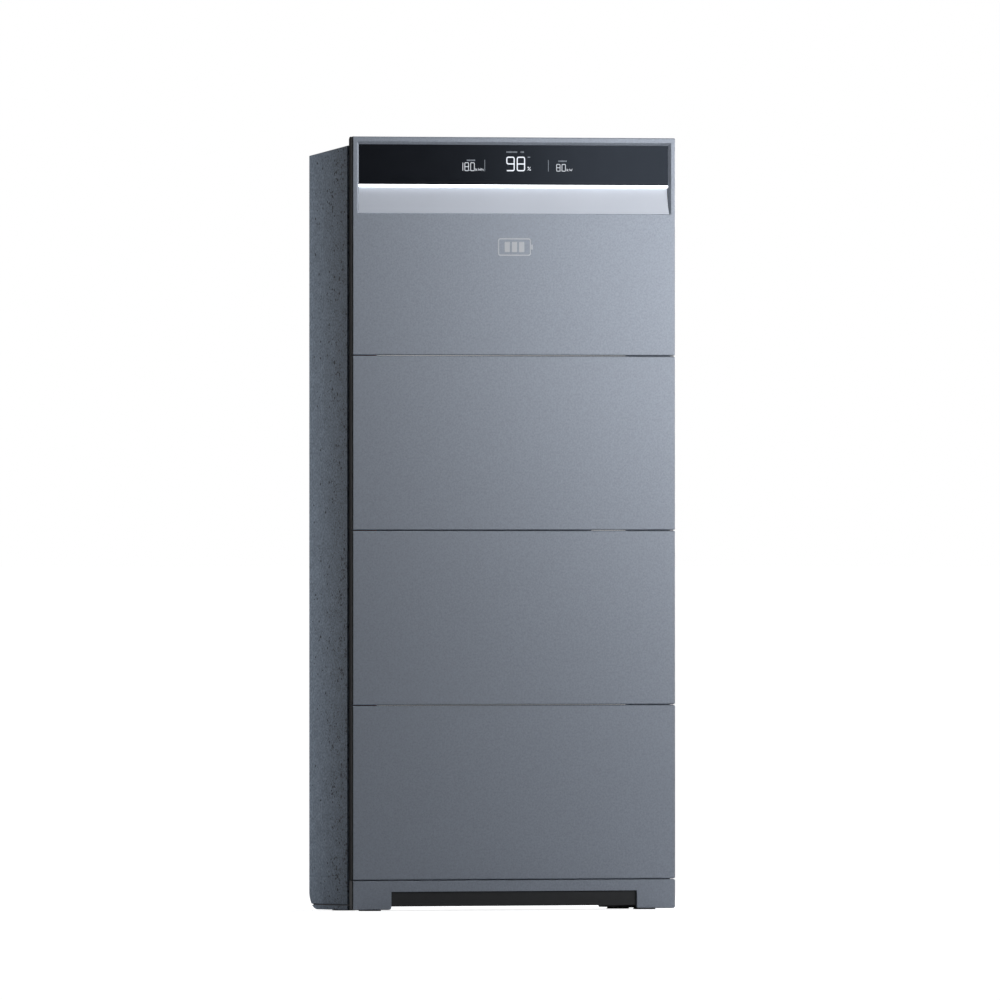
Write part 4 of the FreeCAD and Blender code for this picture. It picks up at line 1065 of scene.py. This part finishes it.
@dataclass(frozen=True)
class Front:
    """The painted front panels, the black trays behind them and the mark.

    Attributes:
        edge: The radius on the panels' edges.
        mark_height: Height of the mark's middle above the floor.
        mark_size: The mark's width and height.
        mark_skin: How deep the mark is let in, and how far it stands out.
        line: The width of the mark's outline.
        terminal: The width and height of the mark's terminal.
        bar: The width and height of its bars.
        bar_pitch: From bar to bar.
    """

    edge: float = 0.35 * MM
    mark_height: float = 1.215
    mark_size: tuple[float, float] = (66 * MM, 30 * MM)
    mark_skin: tuple[float, float] = (-0.2 * MM, 0.02 * MM)
    line: float = 2.2 * MM
    terminal: tuple[float, float] = (3 * MM, 9 * MM)
    bar: tuple[float, float] = (11 * MM, 19 * MM)
    bar_pitch: float = 15 * MM

    def build(self) -> None:
        """Dresses the panels and trays, and inlays the mark."""
        panels = ("base_skirt", "power_fascia", *(f"battery_fascia_{n}" for n in MODULES))
        dress(Finishes.FRONT_COAT, *panels)
        soften(self.edge, *panels)
        dress(Finishes.TRAY_PLASTIC, "power_carrier", *(f"battery_carrier_{n}" for n in MODULES))
        self.mark()

    def mark(self) -> None:
        """A plain battery symbol: an outline, its terminal and three bars."""
        shape = Shape()
        shape.ribbon(box_outline(*self.mark_size, 4 * MM), self.line, *self.mark_skin, True)
        width, height = self.terminal
        nub = self.mark_size[0] / 2 + 3.4 * MM
        shape.ribbon([(nub, -height / 2), (nub, height / 2)], width, *self.mark_skin)
        for n in (-1, 0, 1):
            shape.plate(box_outline(*self.bar, 1.2 * MM, (n * self.bar_pitch, 0)), *self.mark_skin)
        place = Facing.FRONT.place(Vector((0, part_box("power_fascia")[0].y, self.mark_height)))
        shape.settle("front_mark", place, Finishes.MARK, Body.STACK, "reflector_white")


@dataclass(frozen=True)
class Covers:
    """The textured covers on the sides and the top, and the service door."""

    def build(self) -> None:
        """Dresses the covers."""
        dress(Finishes.COVER_COAT, "side_cover_left", "side_cover_right", "top_cover", "base_end_trims")
        dress(Finishes.COVER_COAT, "service_door")
        dress(Finishes.ZINC, "door_hinge_pins")


@dataclass(frozen=True)
class Stand:
    """The floor stand with its feet, and the wall rails."""

    def build(self) -> None:
        """Dresses the stand and the rails."""
        dress(Finishes.STAND_COAT, "base_frame", "wall_rail_upper", "wall_rail_lower")
        feet = [f"foot_{end}_{side}" for end in ("front", "rear") for side in ("left", "right")]
        dress(Finishes.FOOT, *feet)
        dress(Finishes.ZINC, "foot_lock_nuts")


@dataclass(frozen=True)
class ServiceBay:
    """The bay behind the service door: guard, breaker, isolator, wiring box and button.

    Attributes:
        screw_inset: From the guard's edges to its screws.
        screw_radius: The screws' head radius.
        print_skin: How far print stands off what it is on.
        figure: Size of the switch marks.
        lever_inset: From the guard's front edge to the marks over and under the toggle.
        lever_marks: The foot of these marks above the toggle's middle.
        knob_mark: From the isolator's middle to its marks.
        dial: Radius of the arc round the isolator.
        rule_inset: From the guard's edges to the rules near its ends, sideways and upwards.
        symbol: Radius of the ring on the button's cap, and the foot and head of the stroke in its gap.
    """

    screw_inset: float = 7.0 * MM
    screw_radius: float = 3.2 * MM
    print_skin: float = 0.05 * MM
    figure: Figures = Figures(4.6 * MM, 8.0 * MM, 1.0 * MM, 1.0 * MM)
    lever_inset: float = 18.5 * MM
    lever_marks: tuple[float, float] = (30 * MM, -38 * MM)
    knob_mark: float = 27 * MM
    dial: float = 23.5 * MM
    rule_inset: tuple[float, float] = (14 * MM, 34 * MM)
    symbol: tuple[float, float, float] = (3.6 * MM, 1.4 * MM, 4.9 * MM)

    def build(self) -> None:
        """Dresses the bay, and adds screws, switch marks and the button's symbol."""
        dress(Finishes.TRAY_PLASTIC, "bay_liner")
        dress(Finishes.GUARD, "dead_front")
        dress(Finishes.DEVICE, "breaker_body")
        dress(Finishes.DEVICE_BLACK, "breaker_lever", "isolator_body")
        dress(Finishes.HANDLE_RED, "isolator_knob")
        dress(Finishes.CASE_COAT, "wiring_box")
        dress(Finishes.CONNECTOR, "terminal_block")
        dress(Finishes.BOARD, "comm_board")
        dress(Finishes.NYLON, "cable_glands")
        dress(Finishes.BUTTON_RING, "button_housing")
        dress(Finishes.BUTTON_CAP, "power_button")
        self.screws()
        self.marks()
        self.button()

    def screws(self) -> None:
        """A screw in each corner of the guard."""
        low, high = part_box("dead_front")
        shape = Shape()
        for y in (low.y + self.screw_inset, high.y - self.screw_inset):
            for z in (low.z + self.screw_inset, high.z - self.screw_inset):
                shape.socket_screw((y, z), self.screw_radius, 2.0 * MM, -0.2 * MM)
        place = Facing.RIGHT.place(Vector((high.x, 0, 0)))
        shape.settle("guard_screws", place, Finishes.ZINC, Body.STACK, "zinc_steel")

    def marks(self) -> None:
        """The on and off marks at both switches, an arc round the isolator, and a rule near each end."""
        low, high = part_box("dead_front")
        lever = sum(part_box("breaker_body"), Vector()) / 2
        knob = sum(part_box("isolator_knob"), Vector()) / 2
        on, off = self.lever_marks
        shape = Shape()
        for text, x, y in (
            ("1", low.y + self.lever_inset, lever.z + on),
            ("0", low.y + self.lever_inset, lever.z + off),
            ("1", knob.y, knob.z + self.knob_mark),
            ("0", knob.y + self.knob_mark, knob.z - self.figure.height / 2),
        ):
            half = self.figure.weight if text == "1" else self.figure.width
            self.figure.draw(shape, text, x - half / 2, y, self.print_skin)
        shape.ribbon(arc((knob.y, knob.z), self.dial, 12, 90, -90), 1.0 * MM, 0, self.print_skin)
        side, end = self.rule_inset
        for z in (low.z + end, high.z - end):
            shape.ribbon([(low.y + side, z), (high.y - side, z)], 0.8 * MM, 0, self.print_skin)
        place = Facing.RIGHT.place(Vector((high.x, 0, 0)))
        shape.settle("switch_marks", place, Finishes.PRINT_DARK, Body.STACK, "device_black")

    def button(self) -> None:
        """The power symbol on the button's cap: an open ring with a stroke in its gap."""
        low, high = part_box("power_button")
        middle = (low + high) / 2
        radius, foot, head = self.symbol
        shape = Shape()
        shape.ribbon(arc((0, 0), radius, 24, 130, 280), 0.8 * MM, 0, self.print_skin)
        shape.ribbon([(0, foot), (0, head)], 0.8 * MM, 0, self.print_skin)
        place = Facing.RIGHT.place(Vector((high.x, middle.y, middle.z)))
        shape.settle("button_symbol", place, Finishes.MARK, Body.BUTTON, "button_ring")


@dataclass(frozen=True)
class RearFittings:
    """What stands on the back of the battery cases: vents, earth studs and blank plates.

    Places across are counted to the right as seen from behind.

    Attributes:
        rise: The fittings' height above the case's bottom.
        vent_x: Where the vents are across the case.
        vent_radius: The vents' radius.
        ribs: How many ribs a vent's cap has.
        stud_x: Where the studs are across the case.
        plate_x: Where the blank plates are across the case.
        plate_size: The blank plates' width and height.
        plate_face: How far out the plates' face is.
        rivet_inset: From the plates' edges to their rivets.
        ink: How thick the print on the plates is.
    """

    rise: float = 80 * MM
    vent_x: float = 200 * MM
    vent_radius: float = 13 * MM
    ribs: int = 8
    stud_x: float = 156 * MM
    plate_x: float = 150 * MM
    plate_size: tuple[float, float] = (96 * MM, 30 * MM)
    plate_face: float = 0.8 * MM
    rivet_inset: float = 5 * MM
    ink: float = 0.04 * MM

    def build(self) -> None:
        """Adds the vents, studs and plates."""
        place = Facing.BACK.place(Vector((0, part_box("power_case")[1].y, 0)))
        heights = [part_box(f"battery_case_{n}")[0].z + self.rise for n in MODULES]
        vents, studs, plates, rivets, lines = (Shape() for _ in range(5))
        for height in heights:
            self.vent(vents, (self.vent_x, height))
            self.stud(studs, (self.stud_x, height))
            self.plate(plates, rivets, lines, (self.plate_x, height))
        vents.settle("case_vents", place, Finishes.NYLON, Body.STACK, "gland_nylon")
        studs.settle("earth_studs", place, Finishes.ZINC, Body.STACK, "zinc_steel")
        plates.settle("rear_plates", place, Finishes.PLATE, Body.STACK, "zinc_steel")
        rivets.settle("rear_plate_rivets", place, Finishes.ZINC, Body.STACK, "zinc_steel")
        lines.settle("rear_plate_frames", place, Finishes.PRINT_DARK, Body.STACK, "device_black")

    def vent(self, shape: Shape, centre: Point) -> None:
        """A ribbed nylon cap over a membrane.

        Args:
            shape: The mesh to draw into.
            centre: The vent's middle.
        """
        steps = ((1, -0.2), (1, 2.4), (0.92, 3), (0.8, 3), (0.78, 5.4), (0.7, 6), (0.34, 6), (0.28, 5))
        shape.turned([(reach * self.vent_radius, height * MM) for reach, height in steps], centre, 40)
        for spoke in arc((0, 0), self.vent_radius, self.ribs):
            out = Vector(spoke)
            side = Vector((-out.y, out.x)).normalized() * 0.9 * MM
            near, far = Vector(centre) + out * 0.79, Vector(centre) + out * 0.97
            corners = [tuple(p) for p in (near - side, far - side, far + side, near + side)]
            shape.plate(corners, 2.6 * MM, 5.0 * MM, 0.3 * MM)

    def stud(self, shape: Shape, centre: Point) -> None:
        """An earth stud with a washer and a nut.

        Args:
            shape: The mesh to draw into.
            centre: The stud's middle.
        """
        shape.turned(millimetres((7, -0.2), (7, 1.2), (6.7, 1.5), (3, 1.5)), centre, 32)
        shape.turned(millimetres((5.6, 1.3), (5.6, 4.8), (4.9, 5.4), (2.9, 5.4)), centre, 6)
        shape.turned(millimetres((2.5, 5.0), (2.5, 9.4), (1.9, 10.2)), centre, 20)

    def plate(self, plates: Shape, rivets: Shape, lines: Shape, middle: Point) -> None:
        """A blank riveted plate, with a bare frame of three lines printed on it.

        Args:
            plates: The mesh for the plate.
            rivets: The mesh for its rivets.
            lines: The mesh for its print.
            middle: The plate's middle.
        """
        width, height = self.plate_size
        face = self.plate_face
        plates.plate(box_outline(width, height, 3 * MM, middle), -0.1 * MM, face, 0.2 * MM)
        dome = millimetres((1.9, 0.7), (1.7, 1.3), (1.0, 1.7), (0.3, 1.8))
        for spot in box_outline(width - 2 * self.rivet_inset, height - 2 * self.rivet_inset, 0, middle):
            rivets.turned(dome, spot, 16)
        frame_line = box_outline(width - 20 * MM, height - 9 * MM, 1 * MM, middle)
        lines.ribbon(frame_line, 0.6 * MM, face, face + self.ink, True)
        for n in (-1, 0, 1):
            x = middle[0] + n * 19 * MM
            stroke = [(x, middle[1] - 9.5 * MM), (x, middle[1] + 9.5 * MM)]
            lines.ribbon(stroke, 0.5 * MM, face, face + self.ink)


@dataclass(frozen=True)
class Modules:
    """The battery cases with their cells, and the inverter case with its parts."""

    def build(self) -> None:
        """Dresses the cases and what is in them."""
        dress(Finishes.CASE_COAT, *(f"battery_case_{n}" for n in MODULES), "battery_lids", "power_lid")
        dress(Finishes.CELL_FILM, *(f"battery_cells_{n}" for n in MODULES))
        dress(Finishes.COPPER, "battery_busbars")
        dress(Finishes.BOARD, "battery_boards", "inverter_board")
        dress(Finishes.POWER_PARTS, "battery_converters")
        dress(Finishes.STRAP_STEEL, "cell_clamps")
        dress(Finishes.CONNECTOR, "stack_couplings")
        dress(Finishes.ZINC, "case_screws", "link_plates")
        dress(Finishes.SEAL_RUBBER, "lid_seals")
        dress(Finishes.CAST_ALLOY, "power_case", "heat_sink")
        dress(Finishes.RESIN, "inverter_chokes")
        dress(Finishes.SLEEVE, "inverter_capacitors")


# ---------------------------------------------------------------- studio


@dataclass(frozen=True)
class Lamp:
    """A soft rectangular lamp that looks at a point.

    Attributes:
        name: The lamp's name.
        at: Where it stands.
        aim: What it looks at.
        size: Its width and height.
        watts: Its power.
    """

    name: str
    at: tuple[float, float, float]
    aim: tuple[float, float, float]
    size: tuple[float, float]
    watts: float

    def build(self) -> None:
        """Hangs the lamp."""
        data = bpy.data.lights.new(self.name, "AREA")
        data.shape = "RECTANGLE"
        data.size, data.size_y = self.size
        data.energy = self.watts
        lamp = bpy.data.objects.new(self.name, data)
        lamp.location = self.at
        lamp.rotation_mode = "QUATERNION"
        lamp.rotation_quaternion = (Vector(self.aim) - Vector(self.at)).to_track_quat("-Z", "Y")
        lamp.visible_camera = False
        bpy.context.scene.collection.objects.link(lamp)


@dataclass(frozen=True)
class Studio:
    """A white floor, soft lamps and a long-lens camera.

    Attributes:
        azimuth: The camera's angle round the stack; 0 looks straight at the front.
        lens: Focal length in millimetres.
        view_width: Width of the view at the stack.
        aside: How far the view's middle is to the right of the stack's, across the view.
        rise: How far the view's middle is above the stack's.
        floor_radius: The floor's radius.
        paper: The floor's linear colour.
        fade: Where the floor's own white starts to rise and where it is whole, from the middle.
        fade_start: The floor's own white near the stack.
        sky: The colour of the backdrop's light on the stack.
        sky_share: The strength of that light.
    """

    azimuth: float = -28.0
    lens: float = 1160.0
    view_width: float = 1.8345
    aside: float = 0.0138
    rise: float = 0.0435
    floor_radius: float = 300.0
    paper: Colour = tone(205, 206, 208)
    fade: tuple[float, float] = (0.5, 2.6)
    fade_start: float = 0.8
    sky: Colour = (0.86, 0.92, 1.0)
    sky_share: float = 0.03

    def build(self) -> None:
        """Makes the camera, floor, world and lamps."""
        self.camera()
        self.floor()
        self.world()
        for lamp in self.lamps():
            lamp.build()
        bpy.context.scene.view_settings.view_transform = "Standard"

    def camera(self) -> None:
        """Stands the camera at the stack's left, level, a long way off."""
        data = bpy.data.cameras.new("camera")
        data.lens = self.lens
        distance = self.view_width * self.lens / data.sensor_width
        data.clip_start, data.clip_end = 0.1, distance * 8
        turn = math.radians(self.azimuth)
        back = Vector((math.sin(turn), -math.cos(turn), 0))
        across = Vector((math.cos(turn), math.sin(turn), 0))
        low, high = CAD_BOX
        centre = (low + high) / 2 + across * self.aside + Vector((0, 0, self.rise))
        camera = bpy.data.objects.new("camera", data)
        camera.location = centre + back * distance
        camera.rotation_mode = "QUATERNION"
        camera.rotation_quaternion = (-back).to_track_quat("-Z", "Y")
        bpy.context.scene.collection.objects.link(camera)
        bpy.context.scene.camera = camera

    def floor(self) -> None:
        """A wide white floor."""
        mesh = bmesh.new()
        bmesh.ops.create_circle(mesh, cap_ends=True, segments=96, radius=self.floor_radius)
        data = bpy.data.meshes.new("floor")
        mesh.to_mesh(data)
        mesh.free()
        floor = bpy.data.objects.new("floor", data)
        data.materials.append(self.floor_finish())
        bpy.context.scene.collection.objects.link(floor)

    def floor_finish(self) -> bpy.types.Material:
        """White paper that shows a soft shadow, and no edge against the white beyond it.

        Returns:
            The material.
        """
        bench = Bench("floor_paper")
        bench.feed("Base Color", self.paper)
        bench.feed("Roughness", 0.9)
        bench.feed("Specular IOR Level", 0.1)
        reach = bench.add("ShaderNodeVectorMath", operation="LENGTH")
        bench.join(bench.place, reach.inputs[0])
        glow = bench.remap(reach.outputs["Value"], *self.fade, self.fade_start, 1.0)
        seen = bench.add("ShaderNodeLightPath").outputs["Is Camera Ray"]
        bench.feed("Emission Color", (1.0, 1.0, 1.0))
        bench.feed("Emission Strength", bench.maths("MULTIPLY", seen, glow))
        return bench.material

    def world(self) -> None:
        """A white backdrop that lights the stack only softly."""
        world = bpy.data.worlds.new("studio")
        world.use_nodes = True
        tree = world.node_tree
        plain, white = tree.nodes["Background"], tree.nodes.new("ShaderNodeBackground")
        for backdrop, colour, strength in ((plain, self.sky, self.sky_share), (white, (1.0, 1.0, 1.0), 1.0)):
            backdrop.inputs["Color"].default_value = (*colour, 1.0)
            backdrop.inputs["Strength"].default_value = strength
        path = tree.nodes.new("ShaderNodeLightPath")
        pick = tree.nodes.new("ShaderNodeMixShader")
        tree.links.new(path.outputs["Is Camera Ray"], pick.inputs["Fac"])
        tree.links.new(plain.outputs["Background"], pick.inputs[1])
        tree.links.new(white.outputs["Background"], pick.inputs[2])
        tree.links.new(pick.outputs["Shader"], tree.nodes["World Output"].inputs["Surface"])
        bpy.context.scene.world = world

    def lamps(self) -> list[Lamp]:
        """The key on the right with a low one under it, a strip above, and three at the sides."""
        return [
            Lamp("key", (1.31, -1.50, 1.30), (0.1, 0.0, 0.9), (0.9, 0.9), 14.0),
            Lamp("low_key", (1.40, -1.20, 0.60), (0.2, 0.0, 0.5), (0.5, 0.5), 2.7),
            Lamp("top", (0.1, -0.45, 2.0), (0.0, -0.05, 1.0), (1.2, 0.2), 3.4),
            Lamp("side_glint", (2.4, -0.10, 1.25), (-0.3, -0.085, 1.3), (0.4, 1.2), 14.0),
            Lamp("rear_right", (1.6, 0.9, 1.2), (0.2, -0.08, 0.8), (0.6, 1.6), 30.0),
            Lamp("rear_left", (-0.95, 0.6, 0.8), (-0.335, 0.0, 0.75), (0.2, 1.9), 5.6),
        ]


def main() -> None:
    """Builds the studio, then each sub-assembly in order."""
    logging.basicConfig(level=logging.INFO, format="%(name)s %(message)s")
    for part in (Studio(), Front(), Display(), Covers(), Stand(), ServiceBay(), RearFittings(), Modules()):
        LOG.info("building %s", type(part).__name__)
        part.build()


if __name__ == "__main__":
    main()
